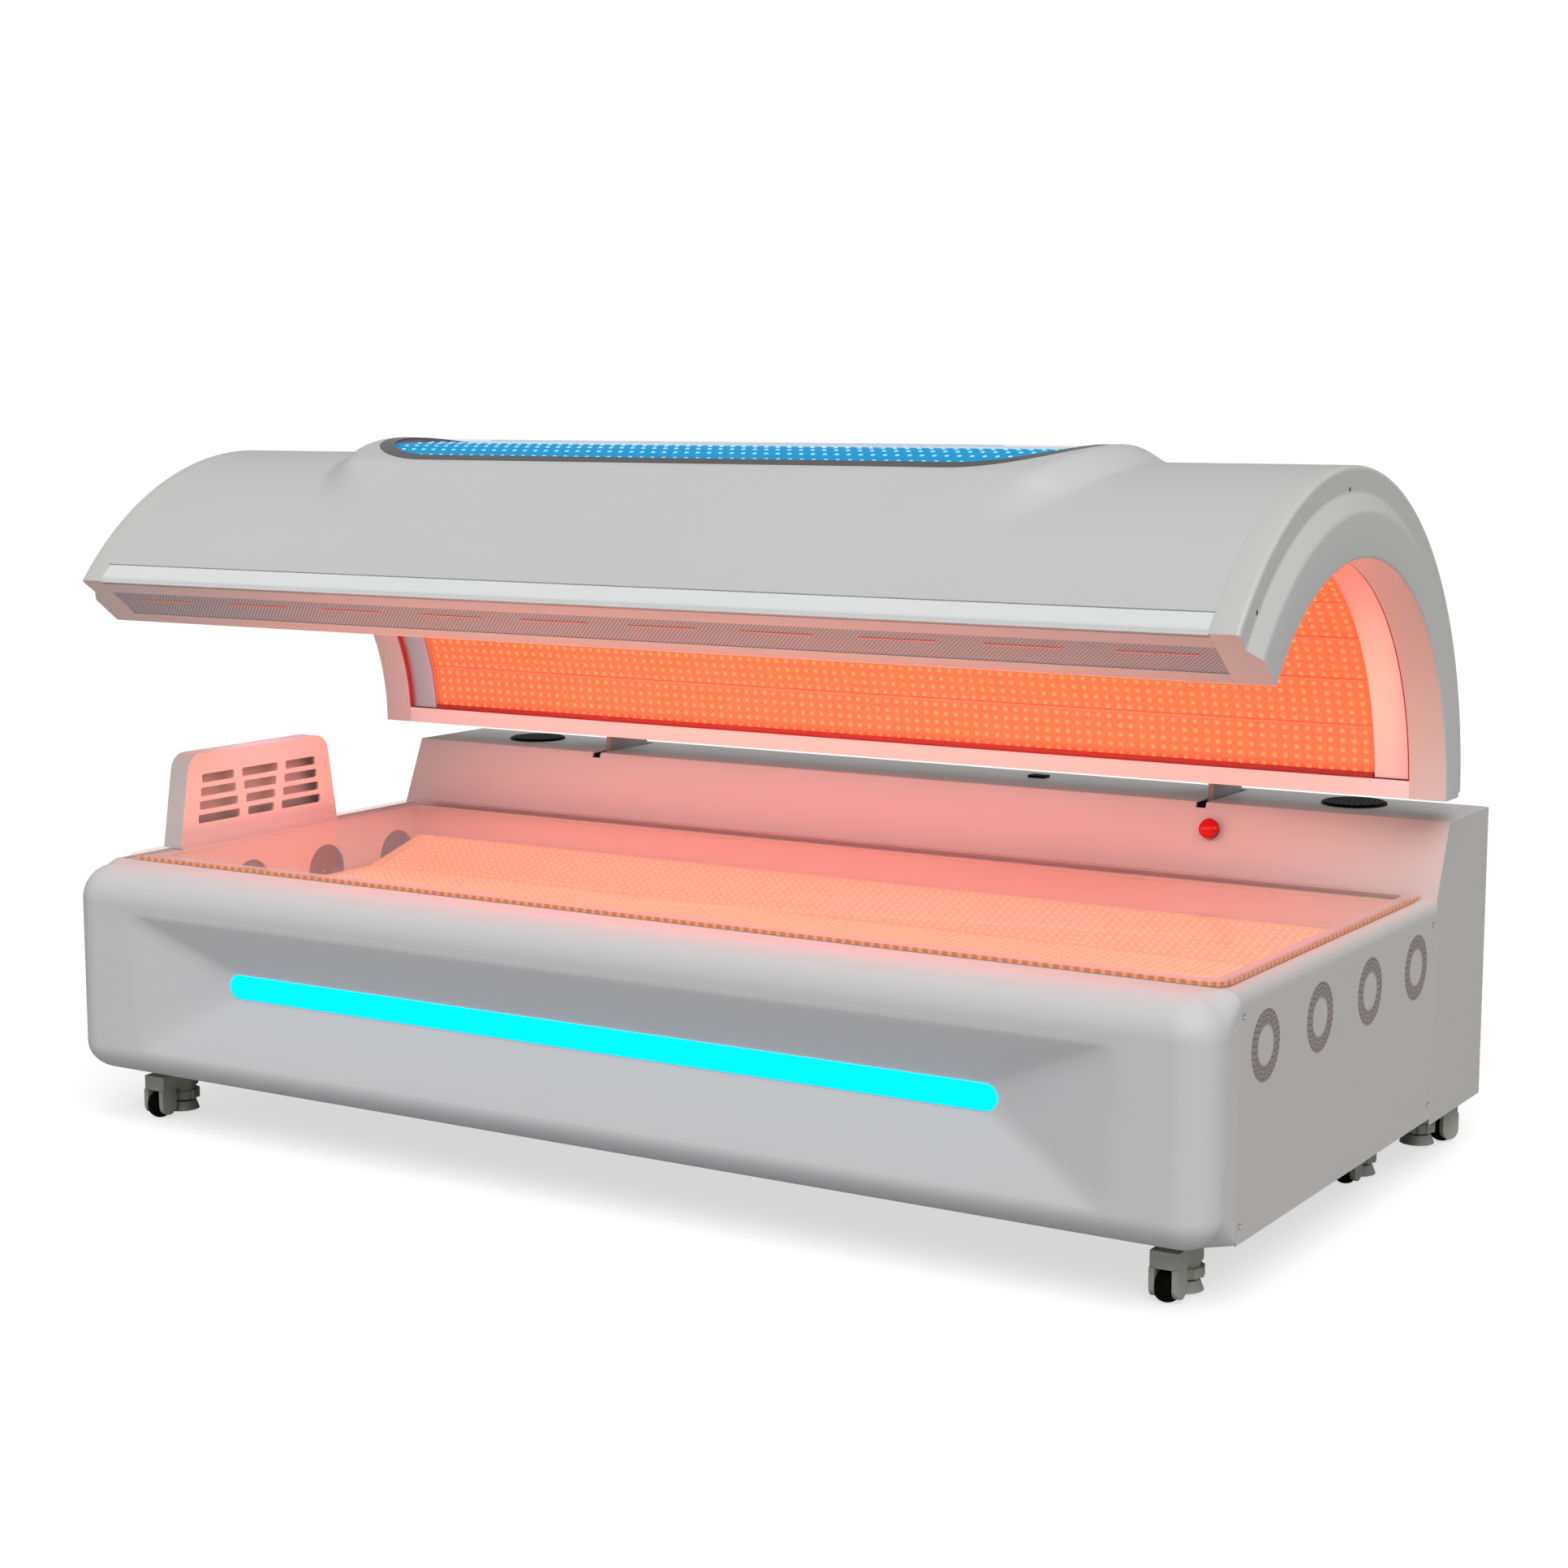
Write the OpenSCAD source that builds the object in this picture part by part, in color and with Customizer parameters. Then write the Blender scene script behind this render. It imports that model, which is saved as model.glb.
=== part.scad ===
// Light therapy bed: a low cabinet with an acrylic lying sheet over LED boards,
// and a half-arch canopy hinged on a rear cabinet.
// X runs along the bed, -Y is the open front side, Z is up.
// The origin is on the floor under the middle of the bed.

/* [Bed cabinet] */
// Length of the bed cabinet between its end faces
bed_length = 2160; // [1900:10:2400]
// Depth from the front face to the back panel
bed_depth = 1190; // [1120:5:1300]
// Height of the covers' top edge above the floor
deck_height = 464; // [440:2:500]
// Gap between the floor and the bed body
body_gap = 98; // [96:1:110]
// Wall of the moulded covers
cover_wall = 4; // [3:0.5:5]
// Sheet metal thickness
sheet = 3; // [2:0.5:4]

/* [Front cover] */
// Depth of the moulded front cover, from its face to the seam
cover_depth = 104; // [95:1:115]
// Radius of the front cover's outer edges
cover_radius = 60; // [40:2:64]
// Radius of the end panel's top bend
bend_radius = 22; // [14:1:28]
// Distance of the recess in the front face from the cover's ends
recess_margin = 140; // [120:2:240]
// Height of the recess
recess_height = 240; // [200:5:260]
// Height of the recess's middle line above the floor
recess_mid = 268; // [255:1:280]
// Depth of the recess
recess_depth = 38; // [25:1:50]
// Length of the light bar
bar_length = 1476; // [1200:4:1560]
// Height of the light bar
bar_height = 41; // [30:1:50]
// Height of the light bar's middle line above the floor
bar_mid = 279; // [262:1:290]
// Thickness of the light bar
bar_thick = 9; // [6:1:12]

/* [Lying sheet and tub] */
// Thickness of the acrylic lying sheet
glass_thick = 10; // [8:1:12]
// Gap between the sheet's edge and the covers round it
glass_gap = 1.5; // [1:0.5:3]
// Distance of the sheet's ends from the bed's end faces
glass_margin = 25; // [24:1:34]
// Corner radius of the lying sheet
glass_corner = 38; // [10:1:60]
// Height by which the sheet stands proud of the covers
glass_proud = 7; // [2:1:8]
// Distance of the tub's end walls from the bed's end faces
tub_end = 52; // [50:1:60]
// Depth of the tub below the covers' top edge
tub_depth = 109; // [100:1:115]
// Rise of the tub's sloping sides
tub_rise = 44; // [20:1:60]
// Width of the tub's sloping sides
tub_slope = 162; // [120:2:200]
// Width of the ledge that carries the sheet
ledge = 22; // [16:1:30]
// Thickness of an LED board with its heat spreader
board_thick = 6; // [3:1:8]

/* [End vents and fans] */
// Number of fans in each end
vent_count = 4; // [3:1:4]
// Distance between neighbouring fans
vent_pitch = 212; // [190:1:214]
// Shift of the row of fans from the middle of the end panel, towards the back
vent_shift = 1; // [-12:1:12]
// Height of the fans' axes above the floor
vent_height = 368; // [360:1:372]
// Diameter of a vent grille
vent_d = 106; // [96:1:108]
// Diameter of the closed middle of a vent grille
vent_hub = 64; // [40:1:66]
// Diameter of one hole in a vent grille
vent_hole = 5; // [3:0.5:6]
// Side of a fan's square housing
fan_side = 116; // [112:1:120]
// Thickness of a fan
fan_thick = 25; // [20:1:25]

/* [Air hood] */
// Length of the air hood's foot
hood_length = 430; // [340:5:460]
// Height of the air hood above the covers
hood_height = 169; // [120:1:200]
// Thickness of the air hood
hood_thick = 42; // [34:1:44]
// Distance of the hood's middle from the front face
hood_mid = 448; // [440:1:480]
// Inward lean of each upright edge of the hood
hood_taper = 28; // [10:1:60]
// Corner radius at the hood's top
hood_corner = 34; // [15:1:45]
// Height of one air slot
slot_height = 16; // [8:1:18]

/* [Rear cabinet] */
// Height of the rear cabinet above the floor
cabinet_height = 586; // [570:1:600]
// Depth of the rear cabinet at its foot
cabinet_depth = 260; // [245:1:270]
// Backward lean of the cabinet's face
cabinet_lean = 53; // [30:1:60]
// Gap between the floor and the rear cabinet
cabinet_gap = 86; // [80:1:95]
// Distance of each speaker from the bed's end face
speaker_inset = 208; // [140:2:320]
// Diameter of a speaker
speaker_d = 112; // [80:1:118]
// Sideways place of the stop button
stop_x = 667; // [665:1:760]
// Drop of the stop button below the cabinet's top
stop_drop = 45; // [40:1:62]
// Diameter of the stop button
stop_d = 35; // [28:1:42]
// Travel of the stop button
stop_travel = 4; // [3:0.5:6]

/* [Canopy] */
// Length of the canopy over its end rings
canopy_length = 2200; // [1960:10:2440]
// Outer radius of the canopy
arch_r = 538; // [530:1:545]
// Inner radius of the end rings
ring_r = 412; // [405:1:416]
// Angle of the arch, from its rear edge to its front lip
arch_angle = 142.3; // [136:0.5:146]
// Distance of the arch's middle in front of the hinge line
arch_reach = 626; // [620:1:632]
// Height of the arch's middle above the cabinet's top
arch_rise = 45.5; // [43:0.5:54]
// Width of an end ring along the bed
ring_width = 62; // [50:1:80]
// Width of the step round an end ring's face
step_width = 37; // [20:1:40]
// Depth of the step
step_depth = 19; // [10:1:24]
// Width of the slope between the step and the face
slope_width = 25; // [10:1:30]
// Number of LED boards round the arch
board_count = 12; // [8:1:14]
// Width of the reflector strips beside the boards
reflector_width = 62; // [40:1:80]
// Thickness of the reflector sheet
reflector_thick = 2; // [1:0.5:3]
// Angle taken by the rear rail and by the lip's trims
rail_angle = 4; // [3:0.5:5]

/* [Crown] */
// Length of the raised crown at its foot
crown_length = 1540; // [1500:4:1700]
// Width of the crown at its foot, measured flat
crown_width = 702; // [640:2:720]
// Radius of the crown's ends, seen from above
crown_end = 240; // [210:5:300]
// Margin round the window to the edge of the crown's slopes
crown_margin = 8; // [4:1:16]
// Height of the crown above the shell
crown_rise = 37; // [28:1:44]
// Length of the window in the crown
window_length = 1400; // [1100:5:1460]
// Width of the window, measured flat
window_width = 390; // [300:5:400]
// Width of the window's dark frame
window_frame_width = 38; // [20:1:60]

/* [Hinge] */
// Distance of each hinge arm from the middle of the bed
arm_x = 640; // [560:2:640]
// Thickness of a hinge arm
arm_thick = 10; // [8:1:12]
// Distance of the hinge line from the back panel's face
pivot_back = 78; // [74:1:84]
// Drop of the hinge line below the cabinet's top
pivot_drop = 34; // [32:1:38]
// Diameter of the hinge pins
pin_d = 20; // [16:1:22]
// Length of the lever below the hinge line
lever = 81; // [70:1:84]
// Diameter of a gas spring's tube
spring_d = 22; // [18:1:24]
// Diameter of a gas spring's rod
rod_d = 10; // [8:1:10]

/* [Casters] */
// Diameter of a caster wheel
wheel_d = 48; // [40:1:50]
// Width of a caster wheel
wheel_w = 24; // [16:1:26]
// Trail of the wheel behind its swivel axis
trail = 56; // [50:1:58]
// Side of a caster's fixing plate
plate_side = 70; // [60:1:80]
// Distance of the front and middle casters from the bed's end faces
caster_inset = 102; // [80:2:180]
// Radial clearance of every running fit
fit = 0.05; // [0.02:0.01:0.1]

/* [Hidden] */
$fn = 96;
eps = 0.01;
seat = 0.2;

// Planes of the bed cabinet
half = bed_length / 2;
front_y = -bed_depth / 2;
back_y = bed_depth / 2;
seam_y = front_y + cover_depth;
foot_y = back_y - cabinet_depth;
glass_top = deck_height + glass_proud;
glass_bottom = glass_top - glass_thick;
glass_half = half - glass_margin;
glass_front = seam_y + glass_gap;
glass_back = foot_y - glass_gap;
recess_length = bed_length - 2 * recess_margin;

// Frame tubes
tube = 40;
tube_wall = 3;
rail_top = body_gap + tube;
end_rail = 60;
front_rail_y = seam_y + 1;
rear_rail_y = foot_y - tube - 2;
cabinet_rail_y = back_y - 100;
cross_x = [-half * 0.46, 0, half * 0.46];

// Tub
tub_x = half - tub_end;
tub_front = glass_front + ledge;
tub_back = glass_back - ledge;
tub_floor = deck_height - tub_depth;
ledge_top = glass_bottom;
ledge_thick = 6;
tub_top = ledge_top - ledge_thick;

// Fans
fan_x = half - sheet;
vent_y0 = (seam_y + foot_y) / 2 + vent_shift - vent_pitch * (vent_count - 1) / 2;
fan_bore = fan_side - 14;
blade_r = fan_bore / 2 - 1;
fan_hub_r = 19;
shaft_r = 3;
post_w = 18;
post_x0 = half - tub_end + 3;

// Air hood
hood_x0 = -half + 5;
hood_y = front_y + hood_mid;
hood_rows = 4;

// Rear cabinet
lean_z = cabinet_height - deck_height;
lean_angle = atan2(cabinet_lean, lean_z);
top_front_y = foot_y + cabinet_lean;
speaker_x = half - speaker_inset;
speaker_y = (top_front_y + back_y) / 2 + 14;
socket_x = 262;
socket_y = top_front_y + 130;
inlet_x = -half + 190;
inlet_z = cabinet_gap + 110;
supply_half = 55;
control_half = 150;
supply_out = cross_x[2] - tube / 2 - 47;
supply_in = (supply_out + control_half - supply_half) / 2;
supply_x = [-supply_out, -supply_in, supply_in, supply_out];
stop_z = cabinet_height - stop_drop;
stop_y = foot_y + cabinet_lean * (stop_z - deck_height) / lean_z;
stop_stem = 22;

// Hinge line and canopy
pivot_y = back_y - pivot_back;
pivot_z = cabinet_height - pivot_drop;
arch_y = pivot_y - arch_reach;
arch_z = cabinet_height + arch_rise;
lip = arch_angle - rail_angle;
skin = cover_wall;
ring_x = canopy_length / 2;
shell_x = ring_x - ring_width;
board_x = shell_x - reflector_width;
board_pitch = (arch_angle - 2 * rail_angle) / board_count;
board_r = ring_r + 16;
rib_in = (board_r + board_thick) / cos(board_pitch / 2) + 0.3;
rib_out = arch_r - skin - 0.3;
rib_thick = 6;
rib_end = board_x - 30;
rib_x = [-rib_end, -rib_end / 2, 0, rib_end / 2, rib_end];
crown_r = arch_r + crown_rise;

// Levers and gas springs
lever_y = pivot_y - lever * cos(39.5);
lever_z = pivot_z - lever * sin(39.5);
spring_y = pivot_y - 8;
spring_z = rail_top + 22;
spring_x = arm_x + arm_thick / 2 + 15;
spring_len = sqrt(pow(lever_y - spring_y, 2) + pow(lever_z - spring_z, 2));
spring_tilt = atan2(spring_y - lever_y, lever_z - spring_z);
tube_top = spring_len * 0.62;
cheek = 6;
cheek_in = arm_x - arm_thick / 2 - 3;
cheek_out = spring_x + spring_d / 2 + 2;
eye_r = 12;
eye_half = 6;
stud_r = 4;
open_clear = 2;

// Casters: place of the swivel axis and the angle at which the wheel stands
caster_x = half - caster_inset;
casters = [
    [-caster_x, seam_y + 58, 0],
    [caster_x, seam_y + 58, 0],
    [-caster_x, foot_y - 56, 0],
    [caster_x, foot_y - 56, 0],
    [-caster_x - 20, cabinet_rail_y + tube / 2, 150],
    [caster_x + 20, cabinet_rail_y + tube / 2, 150]
];
plate_thick = 4;
king_r = 6;
axle_r = 4;

// Flat shapes

// Slot shape with round ends, centred
module stadium(l, h) {
    square([l - h, h], center = true);
    for (s = [-1, 1]) translate([s * (l - h) / 2, 0]) circle(d = h);
}

// Rectangle with round corners, centred
module round_rect(l, w, r) {
    square([l - 2 * r, w], center = true);
    square([l, w - 2 * r], center = true);
    for (sx = [-1, 1], sy = [-1, 1]) translate([sx * (l / 2 - r), sy * (w / 2 - r)]) circle(r = r);
}

// Solids in the frame's own directions

// Box from its low and high corners
module span(lo, hi) {
    translate(lo) cube([hi[0] - lo[0], hi[1] - lo[1], hi[2] - lo[2]]);
}

// Flat shape drawn in Y and Z, drawn out along X
module along_x(x0, x1) {
    translate([x0, 0, 0]) rotate([90, 0, 90]) linear_extrude(height = x1 - x0) children();
}

// Flat shape drawn in X and Z, drawn out along Y
module along_y(y0, y1) {
    translate([0, y1, 0]) rotate([90, 0, 0]) linear_extrude(height = y1 - y0) children();
}

// Round bar along X
module bar_x(x0, x1, y, z, r) {
    translate([x0, y, z]) rotate([0, 90, 0]) cylinder(r = r, h = x1 - x0);
}

// Both ends of the bed, the left one mirrored from the right
module both_ends() {
    children();
    mirror([1, 0, 0]) children();
}

// Sector of the canopy's arch, from its radii, angles and places along X
module arch(r0, r1, a0, a1, x0, x1) {
    translate([0, arch_y, arch_z]) rotate([90, 0, 90]) rotate([0, 0, a0])
        rotate_extrude(angle = a1 - a0, $fn = 180) translate([r0, x0]) square([r1 - r0, x1 - x0]);
}

// Steel frame

module tubes(g, over) {
    for (y = [front_rail_y, rear_rail_y, cabinet_rail_y])
        span([-half + 24 - over, y + g, body_gap + g], [half - 24 + over, y + tube - g, rail_top - g]);
    for (s = [-1, 1]) {
        x = s * (half - 24 - end_rail / 2);
        span([x - end_rail / 2 + g, front_rail_y + g, body_gap + g],
            [x + end_rail / 2 - g, cabinet_rail_y + tube - g, rail_top - g]);
    }
    for (x = cross_x)
        span([x - tube / 2 + g, front_rail_y + g, body_gap + g], [x + tube / 2 - g, cabinet_rail_y + tube - g, rail_top - g]);
}

function post_y(i) = vent_y0 + vent_pitch * (i + 0.5);

module base_frame() {
    color("dimgray") {
        difference() {
            tubes(0, 0);
            tubes(tube_wall, 1);
        }
        for (s = [-1, 1], i = [0 : vent_count - 2])
            translate([s * (post_x0 + post_w / 2), post_y(i), (rail_top + tub_top) / 2])
                cube([post_w, tube, tub_top - rail_top], center = true);
        for (x = cross_x) {
            span([x - tube / 2, glass_front + 1, rail_top], [x + tube / 2, tub_front - sheet - 1, tub_top]);
            span([x - tube / 2, tub_back + sheet + 1, rail_top], [x + tube / 2, glass_back - 1, tub_top]);
            for (y = [tub_front + tub_slope + 20, tub_back - tub_slope - 50])
                span([x - 15, y, rail_top], [x + 15, y + 30, tub_floor - sheet]);
        }
        for (i = [0 : 5]) at_caster(i) rotate([0, 0, -casters[i][2]])
            span([-plate_side / 2 - 8, -plate_side / 2 - 8, body_gap], [plate_side / 2 + 8, plate_side / 2 + 8, body_gap + 5]);
    }
}

// Moulded front cover

module cover_form(g) {
    r = cover_radius;
    low = body_gap + r;
    high = deck_height - r;
    end_y = seam_y + cover_wall;
    hull() {
        for (s = [-1, 1], z = [low, high]) translate([s * (half - r), front_y + r, z]) sphere(r = r - g, $fn = 32);
        for (s = [-1, 1]) {
            translate([s * (half - bend_radius), end_y, deck_height - bend_radius]) rotate([90, 0, 0])
                cylinder(r = bend_radius - g, h = 1, $fn = 32);
            translate([s * (half - 8), end_y, body_gap + 8]) rotate([90, 0, 0]) cylinder(r = 8 - g, h = 1, $fn = 16);
        }
        span([r - half, front_y + g, low], [half - r, front_y + r, high]);
        span([r - half, front_y + r, body_gap + g], [half - r, end_y, deck_height - g]);
        span([g - half, front_y + r, low], [half - g, end_y, high]);
    }
}

// Hip-shaped recess that runs in to the light bar
module recess_form(g) {
    r = 24 + g;
    hull() {
        for (sx = [-1, 1], sz = [-1, 1])
            translate([sx * (recess_length / 2 - 24), front_y + 1, recess_mid + sz * (recess_height / 2 - 24)])
                rotate([90, 0, 0]) cylinder(r = r, h = 3, $fn = 32);
        for (sx = [-1, 1])
            translate([sx * (bar_length - bar_height) / 2, front_y + recess_depth + g, bar_mid])
                rotate([90, 0, 0]) cylinder(r = bar_height / 2 + 2 + g, h = 1, $fn = 32);
    }
}

module front_cover() {
    color("gainsboro") difference() {
        cover_form(0);
        recess_form(0);
        difference() {
            cover_form(cover_wall);
            recess_form(cover_wall);
        }
        translate([0, 0, bar_mid]) along_y(front_y + recess_depth - 4, front_y + recess_depth + cover_wall + 8)
            stadium(bar_length + 2 * seat, bar_height + 2 * seat);
        span([-half - 1, seam_y, body_gap - 1], [half + 1, seam_y + cover_radius, deck_height + 1]);
    }
}

module front_light_bar() {
    y = front_y + recess_depth - 2;
    color("aqua") translate([0, 0, bar_mid]) along_y(y, y + bar_thick) stadium(bar_length, bar_height);
}

// Channel with the bar's LED strip, behind the bar
module light_channel() {
    y = front_y + recess_depth - 2 + bar_thick;
    color("silver") {
        difference() {
            span([-bar_length / 2 - 12, y, bar_mid - bar_height / 2 - 5], [bar_length / 2 + 12, y + 14, bar_mid + bar_height / 2 + 5]);
            span([-bar_length / 2 + 20, y - 1, bar_mid - 14], [bar_length / 2 - 20, y + 11, bar_mid + 14]);
        }
        span([-bar_length / 2 + 24, y + 9, bar_mid - 6], [bar_length / 2 - 24, y + 11.5, bar_mid + 6]);
    }
}

// End panels, grilles and fans

// End panel's outline seen from the front, drawn in by g
module panel_outline(g) {
    x = glass_half + glass_gap - (g > 0 ? 1 : 0);
    z = body_gap - (g > 0 ? 1 : 0);
    r = bend_radius;
    intersection() {
        union() {
            translate([x - r, z]) square([half - x, deck_height - g - z]);
            translate([x - r, z]) square([half - g - x + r, deck_height - r - z]);
            translate([half - r, deck_height - r]) circle(r = r - g);
        }
        translate([x, z]) square([half - x, deck_height - z]);
    }
}

module end_panel_form() {
    difference() {
        along_y(seam_y, foot_y) difference() {
            panel_outline(0);
            panel_outline(sheet);
        }
        for (i = [0 : vent_count - 1])
            bar_x(half - sheet - 1, half + 1, vent_y0 + i * vent_pitch, vent_height, vent_d / 2 + seat);
    }
}

module end_panel_left() {
    color("lightgray") mirror([1, 0, 0]) end_panel_form();
}

module end_panel_right() {
    color("lightgray") end_panel_form();
}

// Round grille with a closed middle and three rows of holes
module vent_grille() {
    rows = 3;
    step = (vent_d - vent_hub) / 2 / rows;
    difference() {
        rotate([0, 90, 0]) cylinder(d = vent_d, h = sheet);
        for (k = [0 : rows - 1]) {
            r = vent_hub / 2 + step * (k + 0.5);
            n = floor(2 * PI * r / (vent_hole * 2));
            for (j = [0 : n - 1]) rotate([j * 360 / n, 0, 0]) translate([-1, 0, r]) rotate([0, 90, 0])
                cylinder(d = vent_hole, h = sheet + 2, $fn = 16);
        }
    }
}

module vent_grilles() {
    color("rosybrown") both_ends()
        for (i = [0 : vent_count - 1]) translate([fan_x, vent_y0 + i * vent_pitch, vent_height]) vent_grille();
}

module fan_housing() {
    difference() {
        rotate([0, 90, 0]) translate([0, 0, -fan_thick]) linear_extrude(height = fan_thick) round_rect(fan_side, fan_side, 6);
        rotate([0, 90, 0]) translate([0, 0, -fan_thick - 1]) cylinder(d = fan_bore, h = fan_thick + 2);
    }
    rotate([0, 90, 0]) translate([0, 0, -4]) cylinder(r = fan_hub_r, h = 4);
    rotate([0, 90, 0]) translate([0, 0, -16]) cylinder(r = shaft_r, h = 13);
    for (a = [45, 135]) rotate([a, 0, 0]) translate([-3.5, -3, -fan_bore / 2 - 2]) cube([3.5, 6, fan_bore + 4]);
}

module fan_housings() {
    color("dimgray") both_ends()
        for (i = [0 : vent_count - 1]) translate([fan_x, vent_y0 + i * vent_pitch, vent_height]) fan_housing();
}

module impeller() {
    depth = 17;
    difference() {
        rotate([0, 90, 0]) union() {
            translate([0, 0, -depth - 5]) cylinder(r = fan_hub_r, h = depth);
            intersection() {
                translate([0, 0, -depth - 5]) cylinder(r = blade_r, h = depth);
                for (a = [0 : 360 / 7 : 359]) rotate([0, 0, a]) translate([fan_hub_r - 2, 0, -depth / 2 - 5])
                    rotate([38, 0, 0]) translate([0, -13, -1]) cube([blade_r, 26, 2]);
            }
        }
        rotate([0, 90, 0]) translate([0, 0, -17]) cylinder(r = shaft_r + fit, h = 14);
    }
}

module fan_impellers(i) {
    color("black") both_ends() translate([fan_x, vent_y0 + i * vent_pitch, vent_height]) impeller();
}

// Lying sheet, its frame and the tub

module deck_frame() {
    color("silver") difference() {
        union() {
            span([-glass_half, glass_front, ledge_top - ledge_thick], [glass_half, glass_back, ledge_top]);
        }
        span([-tub_x, tub_front, 0], [tub_x, tub_back, ledge_top + 1]);
    }
}

module bed_glass() {
    l = 2 * glass_half;
    w = glass_back - glass_front;
    notch_x = hood_x0 + hood_thick + glass_gap;
    color([0.85, 0.9, 0.92, 0.35]) difference() {
        translate([0, (glass_front + glass_back) / 2, glass_bottom]) linear_extrude(height = glass_thick)
            round_rect(l, w, glass_corner);
        span([-half, hood_y - hood_length / 2 - glass_gap, 0], [notch_x, hood_y + hood_length / 2 + glass_gap, glass_top + 1]);
    }
}

// Cross-section of the tub tray, from its front wall to its back wall
function tray(g) = [
    [tub_front - g, tub_top], [tub_front - g, tub_floor + tub_rise - g * 0.3], [tub_front + tub_slope, tub_floor - g],
    [tub_back - tub_slope, tub_floor - g], [tub_back + g, tub_floor + tub_rise - g * 0.3], [tub_back + g, tub_top]
];

module tub_liner() {
    wall_low = vent_height - vent_d / 2 - 6;
    color("mistyrose") {
        along_x(-tub_x, tub_x) difference() {
            polygon(tray(sheet));
            polygon(concat([[tub_front, tub_top + 1]], [for (i = [1 : 4]) tray(0)[i]], [[tub_back, tub_top + 1]]));
        }
        both_ends() difference() {
            span([tub_x, tub_front - sheet, wall_low], [tub_x + sheet, tub_back + sheet, tub_top]);
            for (i = [0 : vent_count - 1])
                bar_x(tub_x - 1, tub_x + sheet + 1, vent_y0 + i * vent_pitch, vent_height, fan_bore / 2);
        }
    }
}

// Boards on the tray's floor and its two slopes
module bed_led_boards() {
    run = sqrt(tub_slope * tub_slope + tub_rise * tub_rise);
    tilt = atan2(tub_rise, tub_slope);
    x = tub_x - 6;
    flat = tub_back - tub_front - 2 * tub_slope;
    color("orangered") {
        span([-x, tub_front + tub_slope + 1, tub_floor], [x, tub_front + tub_slope + flat - 1, tub_floor + board_thick]);
        translate([0, tub_back - tub_slope, tub_floor]) rotate([tilt, 0, 0])
            span([-x, 2, seat], [x, run - board_thick, board_thick]);
        translate([0, tub_front + tub_slope, tub_floor]) rotate([-tilt, 0, 0])
            span([-x, board_thick - run, seat], [x, -2, board_thick]);
    }
}

// Upright hood with air slots at the left end
module air_hood() {
    r = hood_corner;
    h = hood_height;
    low = hood_length / 2;
    top = low - hood_taper;
    slant = norm([h, hood_taper]);
    bend_y = low - ((h - r) * hood_taper + r * slant) / h;
    side = [bend_y + r * h / slant, h - r + r * hood_taper / slant];
    wall = 5;
    color("lightgray") difference() {
        union() {
            translate([hood_x0, hood_y, deck_height]) rotate([90, 0, 90]) linear_extrude(height = hood_thick) {
                polygon([[-low, 0], [low, 0], side, [bend_y, h], [-bend_y, h], [-side[0], side[1]]]);
                for (s = [-1, 1]) translate([s * bend_y, h - r]) circle(r = r);
            }
            span([-glass_half, hood_y - low + 6, ledge_top], [hood_x0 + hood_thick, hood_y + low - 6, deck_height + eps]);
        }
        translate([hood_x0 + wall, hood_y, deck_height]) rotate([90, 0, 90]) linear_extrude(height = hood_thick - 2 * wall)
            polygon([[11 - low, ledge_top - deck_height - 1], [low - 11, ledge_top - deck_height - 1], [top - 8, h - 16], [8 - top, h - 16]]);
        for (j = [0 : hood_rows - 1]) {
            z = h * (0.281 + 0.1467 * j);
            out = low - 40 - z * hood_taper / h;
            bar = low * 0.176 + z * 0.18;
            for (e = [[-out, -bar - 11], [11 - bar, bar - 11], [bar + 11, out]])
                translate([hood_x0 + hood_thick - wall - 1, hood_y + (e[0] + e[1]) / 2, deck_height + z])
                    rotate([90, 0, 90]) linear_extrude(height = wall + 2) round_rect(e[1] - e[0], slot_height, 4);
        }
    }
}

// Rear cabinet

function cabinet_outline(g) = [
    [back_y - sheet, cabinet_gap - (g > 0 ? 1 : 0)], [back_y - sheet, cabinet_height - g],
    [top_front_y + g * 1.6, cabinet_height - g], [foot_y + g * 1.1, deck_height - g], [foot_y + g * 1.1, cabinet_gap - (g > 0 ? 1 : 0)]
];

module rear_cabinet() {
    slot_w = arm_thick + 8;
    color("lightgray") difference() {
        along_x(-half, half) polygon(cabinet_outline(0));
        along_x(-half + sheet, half - sheet) polygon(concat([[back_y, cabinet_gap - 1], [back_y, cabinet_height - sheet]],
            [for (i = [2 : 4]) cabinet_outline(sheet)[i]]));
        span([-half + sheet, foot_y - 1, 0], [half - sheet, foot_y + sheet * 1.2, deck_height - 12]);
        for (s = [-1, 1]) {
            span([s * arm_x - slot_w / 2, top_front_y - 4, pivot_z - 20], [s * arm_x + slot_w / 2, back_y - 18, cabinet_height + 1]);
            translate([s * speaker_x, speaker_y, cabinet_height - sheet - 1]) cylinder(d = speaker_d - 12, h = sheet + 2);
        }
        translate([stop_x, stop_y, stop_z]) rotate([90 - lean_angle, 0, 0]) translate([0, 0, -sheet * 2])
            cylinder(d = stop_stem + 0.4, h = sheet * 4);
        span([socket_x - 13, socket_y - 8, cabinet_height - 10], [socket_x + 13, socket_y + 8, cabinet_height + 1]);
    }
}

// Small black socket on the cabinet's top
module top_socket() {
    z = cabinet_height;
    color("black") difference() {
        union() {
            span([socket_x - 17, socket_y - 12, z], [socket_x + 17, socket_y + 12, z + 5]);
            span([socket_x - 12.8, socket_y - 7.8, z - 18], [socket_x + 12.8, socket_y + 7.8, z + eps]);
        }
        span([socket_x - 8, socket_y - 4, z - 10], [socket_x + 8, socket_y + 4, z + 6]);
    }
}

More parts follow.
